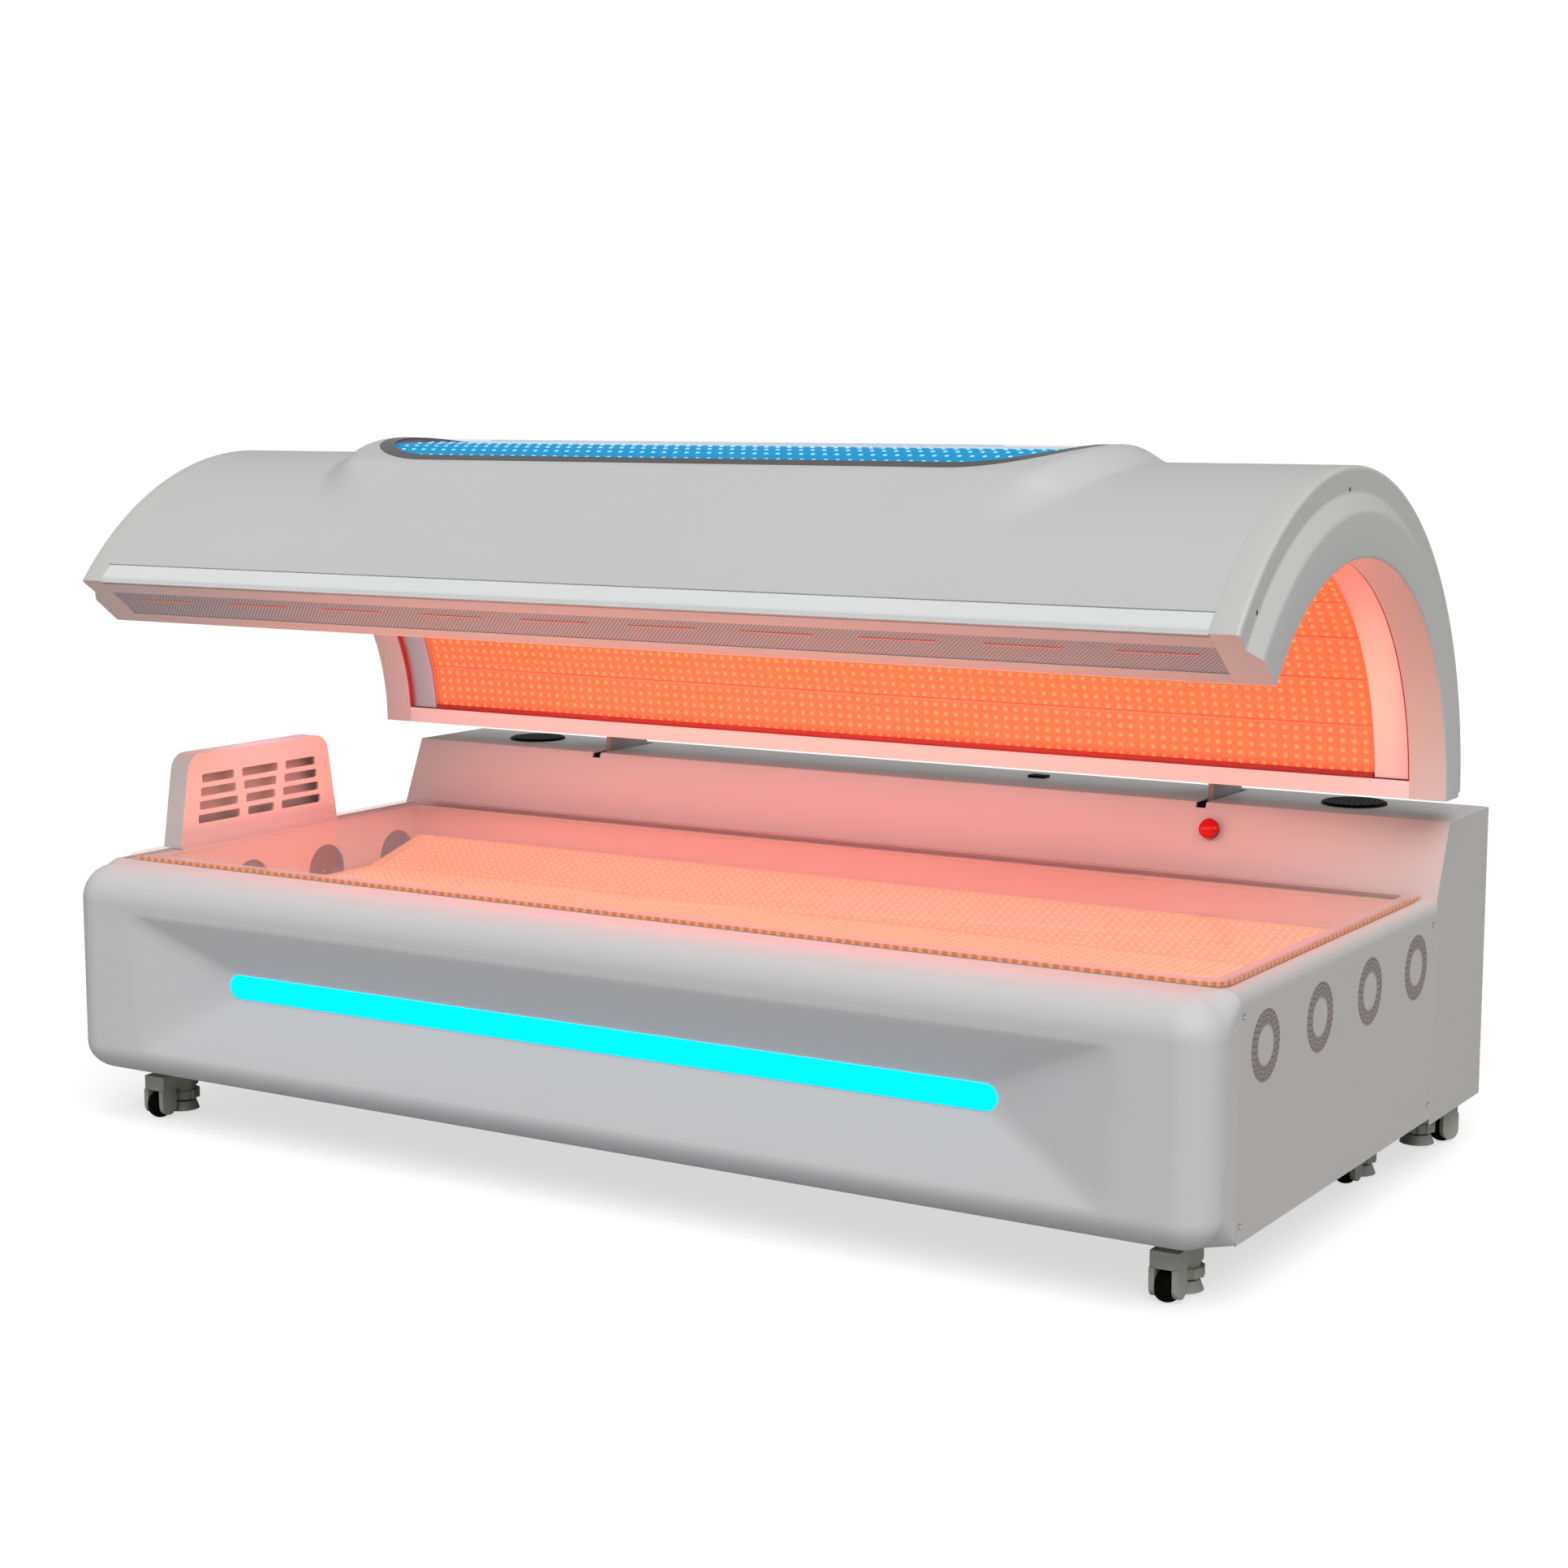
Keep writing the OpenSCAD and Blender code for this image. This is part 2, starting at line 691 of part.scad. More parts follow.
// Back cover with louvre slots and the inlet's cut-out
module rear_panel() {
    color("gray") difference() {
        span([-half + 4, back_y - sheet, cabinet_gap + 2], [half - 4, back_y, cabinet_height - 2]);
        for (g = [-1.5 : 1 : 1.5], i = [0 : 7])
            translate([g * half * 0.42, 0, cabinet_gap + 190 + i * 20]) along_y(back_y - sheet - 1, back_y + 1) stadium(260, 7);
        span([inlet_x - 24, back_y - sheet - 1, inlet_z - 14], [inlet_x + 24, back_y + 1, inlet_z + 14]);
    }
}

module mains_inlet() {
    color("black") difference() {
        union() {
            span([inlet_x - 23.8, back_y - 34, inlet_z - 13.8], [inlet_x + 23.8, back_y + eps - sheet, inlet_z + 13.8]);
            span([inlet_x - 23.8, back_y - sheet, inlet_z - 13.8], [inlet_x + 23.8, back_y, inlet_z + 13.8]);
        }
        span([inlet_x - 13, back_y - 18, inlet_z - 9], [inlet_x + 13, back_y + 1, inlet_z + 9]);
    }
    color("silver") for (s = [-1, 0, 1])
        span([inlet_x + s * 7 - 1, back_y - 19, inlet_z - 3 - (s == 0 ? 3 : 0)], [inlet_x + s * 7 + 1, back_y - 4, inlet_z + 3 - (s == 0 ? 3 : 0)]);
}

// Speaker drivers with their round grilles, one pair
module speakers() {
    color("black") for (s = [-1, 1]) translate([s * speaker_x, speaker_y, cabinet_height]) {
        difference() {
            union() {
                cylinder(d = speaker_d, h = 3);
                translate([0, 0, -30]) cylinder(d = speaker_d - 13, h = 31);
                translate([0, 0, -48]) cylinder(d = speaker_d * 0.55, h = 20);
            }
            translate([0, 0, -26]) cylinder(d1 = speaker_d * 0.3, d2 = speaker_d - 22, h = 30);
        }
        translate([0, 0, -26 + eps]) cylinder(d = speaker_d * 0.28, h = 9);
        difference() {
            translate([0, 0, 3]) cylinder(d = speaker_d - 8, h = 2);
            for (r = [8 : 9 : speaker_d / 2 - 12]) {
                n = floor(2 * PI * r / 10);
                for (j = [0 : n - 1]) rotate([0, 0, j * 360 / n]) translate([r, 0, 2]) cylinder(d = 5, h = 4, $fn = 16);
            }
        }
    }
}

module power_supplies() {
    color("silver") for (x = supply_x) {
        difference() {
            span([x - supply_half, foot_y + 5, rail_top], [x + supply_half, cabinet_rail_y + tube, rail_top + 65]);
            for (i = [0 : 9]) span([x - supply_half + 10, foot_y + 50 + i * 10, rail_top + 60], [x + supply_half - 10, foot_y + 54 + i * 10, rail_top + 66]);
        }
        span([x - supply_half + 10, foot_y - 9, rail_top + 8], [x + supply_half - 10, foot_y + 5 + eps, rail_top + 24]);
    }
}

module control_box() {
    color("gray") difference() {
        span([-control_half, foot_y + 5, rail_top], [control_half, cabinet_rail_y + tube, rail_top + 90]);
        span([4 - control_half, foot_y + 9, rail_top + 4], [control_half - 4, cabinet_rail_y + tube - 4, rail_top + 86]);
    }
    color("green") span([10 - control_half, foot_y + 15, rail_top + 4], [control_half - 10, cabinet_rail_y + tube - 10, rail_top + 8]);
}

// Stop button on the leaning face

module stop_collar() {
    color("black") translate([stop_x, stop_y, stop_z]) rotate([90 - lean_angle, 0, 0]) difference() {
        union() {
            cylinder(d = stop_stem + 8, h = 3);
            translate([0, 0, -30]) cylinder(d = stop_stem, h = 30 + eps);
        }
        translate([0, 0, -26]) cylinder(r = 6 + fit, h = 40);
    }
}

module stop_button() {
    gap = stop_travel + 1;
    color("red") translate([stop_x, stop_y, stop_z]) rotate([90 - lean_angle, 0, 0]) {
        translate([0, 0, -20]) cylinder(r = 6, h = 24 + gap);
        translate([0, 0, 3 + gap]) rotate_extrude() difference() {
            intersection() {
                translate([0, 12 - stop_d * 0.75]) circle(r = stop_d * 0.75);
                translate([0, 0]) square([stop_d / 2, 12]);
            }
            translate([-stop_d, -1]) square([stop_d, 20]);
        }
    }
}

// Hinge of the canopy

// Bar with round ends between two points of a side view
module link(a, b, w) {
    d = [b[0] - a[0], b[1] - a[1]];
    translate(a) circle(d = w);
    translate(b) circle(d = w);
    translate(a) rotate(atan2(d[1], d[0])) translate([0, -w / 2]) square([norm(d), w]);
}

module hinge_brackets() {
    base_y = cabinet_rail_y;
    color("dimgray") for (s = [-1, 1]) mirror([s < 0 ? 1 : 0, 0, 0]) {
        difference() {
            for (x = [cheek_in - cheek, cheek_out]) along_x(x, x + cheek) {
                translate([pivot_y - 24, rail_top]) square([48, pivot_z - rail_top]);
                translate([pivot_y, pivot_z]) circle(r = 24);
                polygon([[base_y, rail_top], [pivot_y + 24, rail_top], [pivot_y + 24, rail_top + 60], [base_y, rail_top + 44]]);
            }
            bar_x(0, half, pivot_y, pivot_z, pin_d / 2 + fit);
        }
        span([cheek_in - cheek, base_y, rail_top], [cheek_out + cheek, base_y + tube, rail_top + 5]);
        bar_x(spring_x - eye_half - 3, cheek_out + eps, spring_y, spring_z, stud_r + 1);
        span([cheek_in - eps, pivot_y + 18, rail_top + 120], [cheek_out + eps, pivot_y + 23, pivot_z - 120]);
    }
}

// Pins with heads, and the sleeves that hold the arms in line
module hinge_pins() {
    arm_in = arm_x - arm_thick / 2;
    arm_out = arm_x + arm_thick / 2;
    color("silver") for (s = [-1, 1]) mirror([s < 0 ? 1 : 0, 0, 0]) {
        bar_x(cheek_in - cheek - 6, cheek_out + cheek + 6, pivot_y, pivot_z, pin_d / 2);
        bar_x(cheek_in - cheek - 10, cheek_in - cheek - seat, pivot_y, pivot_z, pin_d / 2 + 5);
        bar_x(cheek_out + cheek + seat, cheek_out + cheek + 10, pivot_y, pivot_z, pin_d / 2 + 5);
        bar_x(cheek_in + seat, arm_in - seat, pivot_y, pivot_z, pin_d / 2 + 4);
        bar_x(arm_out + seat, cheek_out - seat, pivot_y, pivot_z, pin_d / 2 + 4);
    }
}

// Arm plate with its lever and the shoe bolted to the shell's back
module hinge_arms() {
    shoe_r = arch_r + seat;
    a0 = 3;
    a1 = 17;
    p0 = [arch_y + (shoe_r + 3) * cos(a0), arch_z + (shoe_r + 3) * sin(a0)];
    p1 = [arch_y + (shoe_r + 3) * cos(a1), arch_z + (shoe_r + 3) * sin(a1)];
    color("silver") for (s = [-1, 1]) mirror([s < 0 ? 1 : 0, 0, 0]) {
        difference() {
            along_x(arm_x - arm_thick / 2, arm_x + arm_thick / 2) union() {
                translate([pivot_y, pivot_z]) circle(r = 24);
                link([pivot_y, pivot_z], [lever_y, lever_z], 2 * eye_r);
                difference() {
                    polygon([
                        [top_front_y + 14, cabinet_height - 14], [top_front_y + 20, arch_z - 8], p0, p1,
                        [p1[0] + 16, p1[1] + 4], [pivot_y - 17, arch_z + 68], [pivot_y + 40, cabinet_height + 14],
                        [pivot_y + 24, pivot_z], [pivot_y, pivot_z - 20], [pivot_y - 60, pivot_z - 12]
                    ]);
                    translate([arch_y, arch_z]) circle(r = shoe_r, $fn = 180);
                }
            }
            bar_x(0, half, pivot_y, pivot_z, pin_d / 2 + fit);
        }
        arch(shoe_r, shoe_r + 6, a0, a1, arm_x - 35, arm_x + 35);
        bar_x(arm_x, spring_x + eye_half + 3, lever_y, lever_z, stud_r);
    }
}

// Gas spring drawn upright from its lower eye, then leaned to its place
module at_spring() {
    translate([spring_x, spring_y, spring_z]) rotate([spring_tilt, 0, 0]) children();
}

module spring_tube() {
    at_spring() difference() {
        union() {
            bar_x(-eye_half, eye_half, 0, 0, eye_r);
            translate([0, 0, eye_r - 3]) cylinder(d = spring_d, h = tube_top - eye_r + 3);
            translate([0, 0, 4]) cylinder(r = 6, h = 12);
        }
        bar_x(-20, 20, 0, 0, stud_r + 1 + fit);
        translate([0, 0, 24]) cylinder(r = rod_d / 2 + fit, h = tube_top);
    }
}

module spring_rod() {
    at_spring() difference() {
        union() {
            bar_x(-eye_half, eye_half, 0, spring_len, eye_r);
            translate([0, 0, 60]) cylinder(d = rod_d, h = spring_len - 60 - eye_r + 3);
        }
        bar_x(-20, 20, 0, spring_len, stud_r + open_clear);
    }
}

module gas_spring_tube_left() {
    color("black") mirror([1, 0, 0]) spring_tube();
}

module gas_spring_tube_right() {
    color("black") spring_tube();
}

module gas_spring_rod_left() {
    color("silver") mirror([1, 0, 0]) spring_rod();
}

module gas_spring_rod_right() {
    color("silver") spring_rod();
}

// Canopy

// Crown's outer form: slopes run from the window's edge to the shell, in line with it at the front and rear
module crown_form(g) {
    foot_r = arch_r - 1.5 - g;
    foot_z = arch_z + sqrt(pow(arch_r, 2) - pow(crown_width / 2, 2)) - 12;
    x_end = crown_length / 2 - crown_end;
    x_wide = window_length / 2 - crown_width / 2 - 40;
    top_r = window_width / 2 + crown_margin - g;
    top_x = (window_length - window_width) / 2 + crown_margin / 2;
    hull() {
        intersection() {
            union() {
                for (s = [-1, 1]) {
                    translate([s * x_end, arch_y, foot_z]) cylinder(r = crown_end - g, h = arch_r, $fn = 64);
                    translate([s * x_wide, arch_y, foot_z]) cylinder(r = crown_width / 2 - g, h = arch_r, $fn = 64);
                }
                span([-x_wide, arch_y - crown_width / 2 + g, foot_z], [x_wide, arch_y + crown_width / 2 - g, arch_z + arch_r]);
            }
            arch_bar(foot_r, crown_length / 2);
        }
        intersection() {
            union() {
                for (s = [-1, 1]) translate([s * top_x, arch_y, foot_z]) cylinder(r = top_r, h = arch_r, $fn = 64);
                span([-top_x, arch_y - top_r, foot_z], [top_x, arch_y + top_r, arch_z + 2 * arch_r]);
            }
            arch_bar(crown_r - g, crown_length / 2);
        }
    }
}

// Round bar on the arch's middle line, drawn with enough sides for a smooth roof
module arch_bar(r, x) {
    translate([-x, arch_y, arch_z]) rotate([0, 90, 0]) cylinder(r = r, h = 2 * x, $fn = 120);
}

// Upright prism with the window's outline, grown by g
module window_prism(g) {
    translate([0, arch_y, arch_z + arch_r * 0.7]) linear_extrude(height = arch_r)
        stadium(window_length + 2 * g, window_width + 2 * g);
}

// One moulding: the arch with its raised crown, and the rebate that the window sits in
module canopy_shell() {
    color("gainsboro") {
        difference() {
            union() {
                arch(arch_r - skin, arch_r, 0, lip, -shell_x + seat, shell_x - seat);
                difference() {
                    crown_form(0);
                    arch_bar(arch_r - skin / 2, crown_length);
                }
            }
            crown_form(skin);
            window_prism(seat);
        }
        difference() {
            intersection() {
                arch(crown_r - 12, crown_r - 2, 20, 160, -half, half);
                difference() {
                    window_prism(3);
                    window_prism(-8);
                }
            }
            difference() {
                window_prism(seat);
                arch(0.4, crown_r - 8, 15, 165, -half, half);
            }
        }
    }
}

// Cross-section of an end ring, radius across and place along X up, with a step round its face
module ring_profile(g) {
    step_r = arch_r - step_width;
    step_x = ring_x - step_depth;
    back_x = shell_x - (g > 0 ? 1 : 0);
    polygon([
        [ring_r + g, back_x], [arch_r - g, back_x], [arch_r - g, step_x + 3 - 1.08 * g], [step_r - 0.3 * g, step_x - 1.03 * g],
        [step_r - slope_width - 0.34 * g, ring_x - g], [ring_r + g, ring_x - g]
    ]);
}

// Moulded end ring: a channel, open towards the middle of the canopy, with closed ends
module canopy_end() {
    a = 0.5;
    translate([0, arch_y, arch_z]) rotate([90, 0, 90]) difference() {
        rotate_extrude(angle = arch_angle, $fn = 180) ring_profile(0);
        rotate([0, 0, a]) rotate_extrude(angle = arch_angle - 2 * a, $fn = 180) ring_profile(skin);
    }
}

module canopy_end_left() {
    color("lightgray") mirror([1, 0, 0]) canopy_end();
}

module canopy_end_right() {
    color("lightgray") canopy_end();
}

// Bright extrusion along the front edge, with its flange under the lip
module front_trim() {
    x = shell_x - seat;
    color("whitesmoke") {
        arch(arch_r - skin - 1, arch_r + 0.5, lip + 0.03, arch_angle, -x, x);
        arch(arch_r - 35, arch_r - skin, arch_angle - 0.5, arch_angle, -x, x);
    }
}

// Flange along the lip's inner edge
module inner_trim() {
    x = shell_x - seat;
    color("whitesmoke") {
        arch(ring_r, ring_r + 3, lip, arch_angle, -x, x);
        arch(ring_r + 2, ring_r + 25, arch_angle - 0.6, arch_angle, -x, x);
    }
}

// Grille under the lip, with a row of slits
module mesh_panel() {
    slits = 9;
    pitch = 2 * shell_x / slits;
    r0 = ring_r + 25 + seat;
    r1 = arch_r - 35 - seat;
    color("rosybrown") difference() {
        arch(r0, r1, arch_angle - 0.35, arch_angle - 0.05, -shell_x + 1, shell_x - 1);
        translate([0, arch_y, arch_z]) rotate([arch_angle - 180, 0, 0]) for (i = [0 : slits - 1])
            translate([-shell_x + pitch * (i + 0.5), -(r0 + r1) / 2, 0]) linear_extrude(height = 12, center = true)
                stadium(pitch * 0.55, 5);
    }
}

// Flat LED boards round the inside of the arch
module canopy_led_boards() {
    w = 2 * board_r * tan(board_pitch / 2) - 1;
    color("orangered") for (i = [0 : board_count - 1])
        translate([0, arch_y, arch_z]) rotate([rail_angle + board_pitch * (i + 0.5), 0, 0])
            span([-board_x + 1, board_r, -w / 2], [board_x - 1, board_r + board_thick, w / 2]);
}

module canopy_reflectors() {
    r = ring_r + 8;
    color("mistyrose") both_ends() {
        arch(r, r + reflector_thick, rail_angle + 0.2, lip - 0.2, board_x, shell_x - seat);
        arch(r, board_r + board_thick, rail_angle + 0.2, lip - 0.2, board_x, board_x + reflector_thick);
    }
}

// Rail that closes the arch's rear edge
module rear_rail() {
    x = shell_x - seat;
    color("whitesmoke") difference() {
        arch(ring_r + 1, arch_r - skin - seat, 0, rail_angle, -x, x);
        arch(ring_r + 4, arch_r, 0.4, rail_angle + 1, -x - 1, x + 1);
    }
}

// Ribs and bars inside the arch
module canopy_frame() {
    a0 = rail_angle + 2;
    a1 = lip - 2;
    mid = (rib_in + rib_out) / 2;
    bar = 26;
    holes = 8;
    color("dimgray") {
        for (x = rib_x)
            translate([x - rib_thick / 2, arch_y, arch_z]) rotate([90, 0, 90]) linear_extrude(height = rib_thick) difference() {
                intersection() {
                    difference() {
                        circle(r = rib_out, $fn = 180);
                        circle(r = rib_in, $fn = 180);
                    }
                    polygon([[0, 0], for (k = [0 : 6]) 1.7 * arch_r * [cos(a0 + (a1 - a0) * k / 6), sin(a0 + (a1 - a0) * k / 6)]]);
                }
                for (k = [1 : holes]) rotate(a0 + (a1 - a0) * (k + 0.5) / (holes + 2)) translate([mid, 0]) circle(r = 22);
            }
        for (a = [a0 + 3, (a0 + a1) / 2, a1 - 3])
            translate([0, arch_y, arch_z]) rotate([a, 0, 0]) span([-rib_end, mid - bar / 2, -bar / 2], [rib_end, mid + bar / 2, bar / 2]);
    }
}

// Window in the crown

module window_frame() {
    color("dimgray") intersection() {
        arch(crown_r - 4 + seat, crown_r, 20, 160, -half, half);
        difference() {
            window_prism(0);
            window_prism(-window_frame_width);
        }
    }
}

module window_lens() {
    color("deepskyblue") intersection() {
        arch(crown_r - 8 + seat, crown_r - 4, 20, 160, -half, half);
        window_prism(-1);
    }
}

// Board with the window's LEDs, on posts from the ribs
module window_board() {
    r = arch_r + crown_rise / 2;
    color("royalblue") {
        intersection() {
            arch(r, r + 2, 20, 160, -half, half);
            window_prism(-window_frame_width);
        }
        for (x = rib_x, a = [-12, 12]) if (abs(x) < (window_length - window_width) / 2)
            translate([x, arch_y, arch_z]) rotate([a, 0, 0]) span([-rib_thick / 2, -10, rib_out + seat], [rib_thick / 2, 10, r + 1]);
    }
}

// Casters

module at_caster(i) {
    c = casters[i];
    translate([c[0], c[1], 0]) rotate([0, 0, c[2]]) children();
}

module caster_plates() {
    color("silver") for (i = [0 : 5]) at_caster(i) {
        difference() {
            span([-plate_side / 2, -plate_side / 2, body_gap - plate_thick], [plate_side / 2, plate_side / 2, body_gap]);
            for (sx = [-1, 1], sy = [-1, 1])
                translate([sx * (plate_side / 2 - 10), sy * (plate_side / 2 - 10), 0]) cylinder(d = 8, h = body_gap + 1);
        }
        translate([0, 0, body_gap - 13]) cylinder(r = 20, h = 10);
        translate([0, 0, body_gap - 46]) cylinder(r = king_r, h = 40);
    }
}

// Fork with its levelling pad and scalloped thumb ring
module caster_fork(i) {
    r = wheel_d / 2;
    top = body_gap - 13 - 0.3;
    side = wheel_w / 2 + 1.5;
    wall = 9;
    ring_z = 26;
    thumb_r = trail - r - 1.5;
    hood_z = wheel_d + 3;
    color("darkseagreen") at_caster(i) difference() {
        union() {
            translate([0, 0, hood_z]) cylinder(r = thumb_r - 2, h = top - hood_z);
            translate([0, 0, ring_z + 13]) cylinder(r = thumb_r - 6, h = hood_z - ring_z - 12);
            difference() {
                translate([0, 0, ring_z]) cylinder(r = thumb_r, h = 15);
                for (a = [15 : 30 : 345]) rotate([0, 0, a]) translate([thumb_r + 2, 0, ring_z - 1]) cylinder(r = 4.5, h = 17, $fn = 24);
            }
            translate([0, 0, 15]) cylinder(r = king_r, h = ring_z - 14);
            translate([0, 0, 5]) cylinder(r1 = thumb_r - 1, r2 = thumb_r - 7, h = 16);
            span([-side - wall, -trail - r * 0.6, hood_z], [side + wall, 0, top - 8]);
            for (s = [-1, 1]) along_x(s * (side + wall / 2) - wall / 2, s * (side + wall / 2) + wall / 2) {
                translate([-trail, r]) circle(r = r * 0.72);
                translate([-trail - r * 0.72, r]) square([r * 1.44, hood_z - r + 1]);
            }
            bar_x(-side - 1, side + 1, -trail, r, axle_r);
        }
        translate([0, 0, body_gap - 47]) cylinder(r = king_r + fit, h = 60);
    }
}

module caster_wheel(i) {
    r = wheel_d / 2;
    soft = 4;
    color("black") at_caster(i) translate([-wheel_w / 2, -trail, r]) rotate([0, 90, 0]) difference() {
        union() {
            cylinder(r = r - soft, h = wheel_w);
            rotate_extrude() translate([r - soft, wheel_w / 2]) scale(1) intersection() {
                translate([-soft * 2, -wheel_w / 2]) square([soft * 3, wheel_w]);
                translate([soft - wheel_w * 0.9, 0]) circle(r = wheel_w * 0.9);
            }
        }
        translate([0, 0, -1]) cylinder(r = axle_r + fit, h = wheel_w + 2);
    }
}

base_frame();
front_cover();
end_panel_left();
end_panel_right();
vent_grilles();
deck_frame();
bed_glass();
tub_liner();
bed_led_boards();
fan_housings();
fan_impellers(0);  // fan_impellers_1
fan_impellers(1);  // fan_impellers_2
fan_impellers(2);  // fan_impellers_3
fan_impellers(3);  // fan_impellers_4
front_light_bar();
light_channel();
air_hood();
rear_cabinet();
rear_panel();
speakers();
power_supplies();
control_box();
stop_collar();
stop_button();
mains_inlet();
top_socket();
hinge_brackets();
hinge_pins();
hinge_arms();
gas_spring_tube_left();
gas_spring_tube_right();
gas_spring_rod_left();
gas_spring_rod_right();
canopy_shell();
canopy_end_left();
canopy_end_right();
front_trim();
inner_trim();
mesh_panel();
canopy_led_boards();
canopy_reflectors();
rear_rail();
canopy_frame();
window_frame();
window_lens();
window_board();
caster_plates();
caster_fork(0);  // caster_fork_1
caster_fork(1);  // caster_fork_2
caster_fork(2);  // caster_fork_3
caster_fork(3);  // caster_fork_4
caster_fork(4);  // caster_fork_5
caster_fork(5);  // caster_fork_6
caster_wheel(0);  // caster_wheel_1
caster_wheel(1);  // caster_wheel_2
caster_wheel(2);  // caster_wheel_3
caster_wheel(3);  // caster_wheel_4
caster_wheel(4);  // caster_wheel_5
caster_wheel(5);  // caster_wheel_6
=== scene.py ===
import math

import bmesh
import bpy
import numpy as np
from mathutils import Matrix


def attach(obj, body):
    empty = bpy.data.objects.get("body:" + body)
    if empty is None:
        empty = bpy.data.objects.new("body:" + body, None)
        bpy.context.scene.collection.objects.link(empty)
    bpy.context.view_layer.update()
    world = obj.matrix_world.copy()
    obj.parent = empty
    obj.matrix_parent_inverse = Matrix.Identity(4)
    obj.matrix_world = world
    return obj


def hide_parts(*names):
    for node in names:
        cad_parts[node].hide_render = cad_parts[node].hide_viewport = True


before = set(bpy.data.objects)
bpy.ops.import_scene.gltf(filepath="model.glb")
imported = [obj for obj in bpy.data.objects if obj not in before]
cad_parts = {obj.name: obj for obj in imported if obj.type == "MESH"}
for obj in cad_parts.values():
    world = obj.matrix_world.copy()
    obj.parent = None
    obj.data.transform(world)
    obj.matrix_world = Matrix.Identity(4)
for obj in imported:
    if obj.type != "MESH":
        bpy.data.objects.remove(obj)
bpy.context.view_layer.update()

# Light therapy bed. Lengths in this file are millimetres unless a name ends in _m;
# X runs along the bed, -Y is the open front side, Z is up.

MM = 0.001
TAU = 2 * math.pi

HALF = 1080.0                     # half of the bed cabinet's length
FRONT = -595.0                    # the front cover's face
SEAM = -491.0                     # where the front cover meets the end panels
FOOT = 335.0                      # front face of the rear cabinet
BASE, DECK = 98.0, 464.0          # lower and upper edge of the covers
TOP_ROUND, LOW_ROUND = 22.0, 8.0  # the covers' round corners at the seam
RECESS, LIGHT_Z = 38.0, 279.0     # depth of the cover's recess, and the light bar's middle height
LIGHT_X, LIGHT_R = 717.5, 20.5    # straight half-length and half-height of the light bar
PANEL, SKIN = 2.5, 3.5            # walls of the folded panels and of the moulded cover
GLASS_TOP, GLASS_THICK = 471.0, 10.0
GLASS_X, GLASS_R = HALF - 25, 38.0  # the lying sheet's ends and corner radius
GLASS_FRONT = SEAM + 1.5
ARCH_Y, ARCH_Z = -109.0, 631.5    # middle line of the canopy's arch
ARCH_R, RING_R = 538.0, 412.0     # outside of the shell, inside of the end rings
ARCH_END, LIP = 142.3, 138.3      # angles of the arch's front end and of the shell's lip
RING_X, SHELL_X, BOARD_X = 1100.0, 1038.0, 976.0
TRIM_X = SHELL_X - 0.2            # ends of the strips along the lip
STEP = 19.0                       # depth of the step in the end rings
BOARD_R, BOARD_THICK, BOARDS, RAIL = 428.0, 6.0, 12, 4.0
CHIP_PITCH = 16.5                 # between rows of chips
CROWN_R = 575.0                   # outside of the raised crown
VENTS = [-395.0, -183.0, 29.0, 241.0]
VENT_Z, VENT_R = 368.0, 53.2
HOOD_Y = -147.0                   # middle of the air hood
WELD_M = 2e-6                     # points nearer than this are one


# Mesh making

def grid_quads(nu, nv, close_u=False, close_v=False):
    """Quads between neighbouring points of an nu by nv grid, joined round where closed."""
    i, j = np.meshgrid(np.arange(nu if close_u else nu - 1), np.arange(nv if close_v else nv - 1), indexing="ij")
    i2, j2 = (i + 1) % nu, (j + 1) % nv
    return np.stack([i * nv + j, i2 * nv + j, i2 * nv + j2, i * nv + j2], -1).reshape(-1, 4)


def make_piece(name, points, faces, material, body, instead=(), slot=None, smooth=40, merge=False):
    """Puts points (mm) and faces into a mesh object that rides on a body and stands for CAD nodes."""
    mesh = bpy.data.meshes.new(name)
    mesh.from_pydata((np.asarray(points, float).reshape(-1, 3) * MM).tolist(), [], [list(f) for f in faces])
    if merge:
        bm = bmesh.new()
        bm.from_mesh(mesh)
        bmesh.ops.remove_doubles(bm, verts=bm.verts, dist=WELD_M)
        bmesh.ops.recalc_face_normals(bm, faces=bm.faces)
        bm.to_mesh(mesh)
        bm.free()
    mesh.validate()
    mesh.materials.append(material)
    piece = bpy.data.objects.new(name, mesh)
    bpy.context.scene.collection.objects.link(piece)
    shade(piece, smooth)
    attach(piece, body)
    if instead:
        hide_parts(*instead)
    return piece


def shade(piece, angle):
    """Smooth shading, with open edges and edges sharper than the angle in degrees kept crisp."""
    mesh = piece.data
    if not angle:
        return
    mesh.polygons.foreach_set("use_smooth", np.ones(len(mesh.polygons), bool))
    bm = bmesh.new()
    bm.from_mesh(mesh)
    for edge in bm.edges:
        if len(edge.link_faces) == 1 or edge.calc_face_angle(0) > math.radians(angle):
            edge.smooth = False
    bm.to_mesh(mesh)
    bm.free()


def loft(name, sections, material, body, caps=True, **more):
    """Skin over closed sections given as one array (sections, points, 3), with flat end caps."""
    sections = np.asarray(sections, float)
    n, m = sections.shape[:2]
    faces = [tuple(f) for f in grid_quads(n, m, close_v=True)]
    if caps:
        faces += [tuple(range(m)), tuple(range((n - 1) * m, n * m))[::-1]]
    return make_piece(name, sections, faces, material, body, merge=True, **more)


def thicken(piece, depth):
    """Gives a sheet its wall, inwards from the drawn side."""
    wall = piece.modifiers.new("wall", "SOLIDIFY")
    wall.thickness = depth * MM
    wall.offset = -1.0
    wall.use_quality_normals = True
    return piece


def turn_towards(piece, axis, sign):
    """Turns a sheet's faces over if, by area, they look away from the given side of an axis."""
    if sum(p.normal[axis] * p.area for p in piece.data.polygons) * sign < 0:
        piece.data.flip_normals()


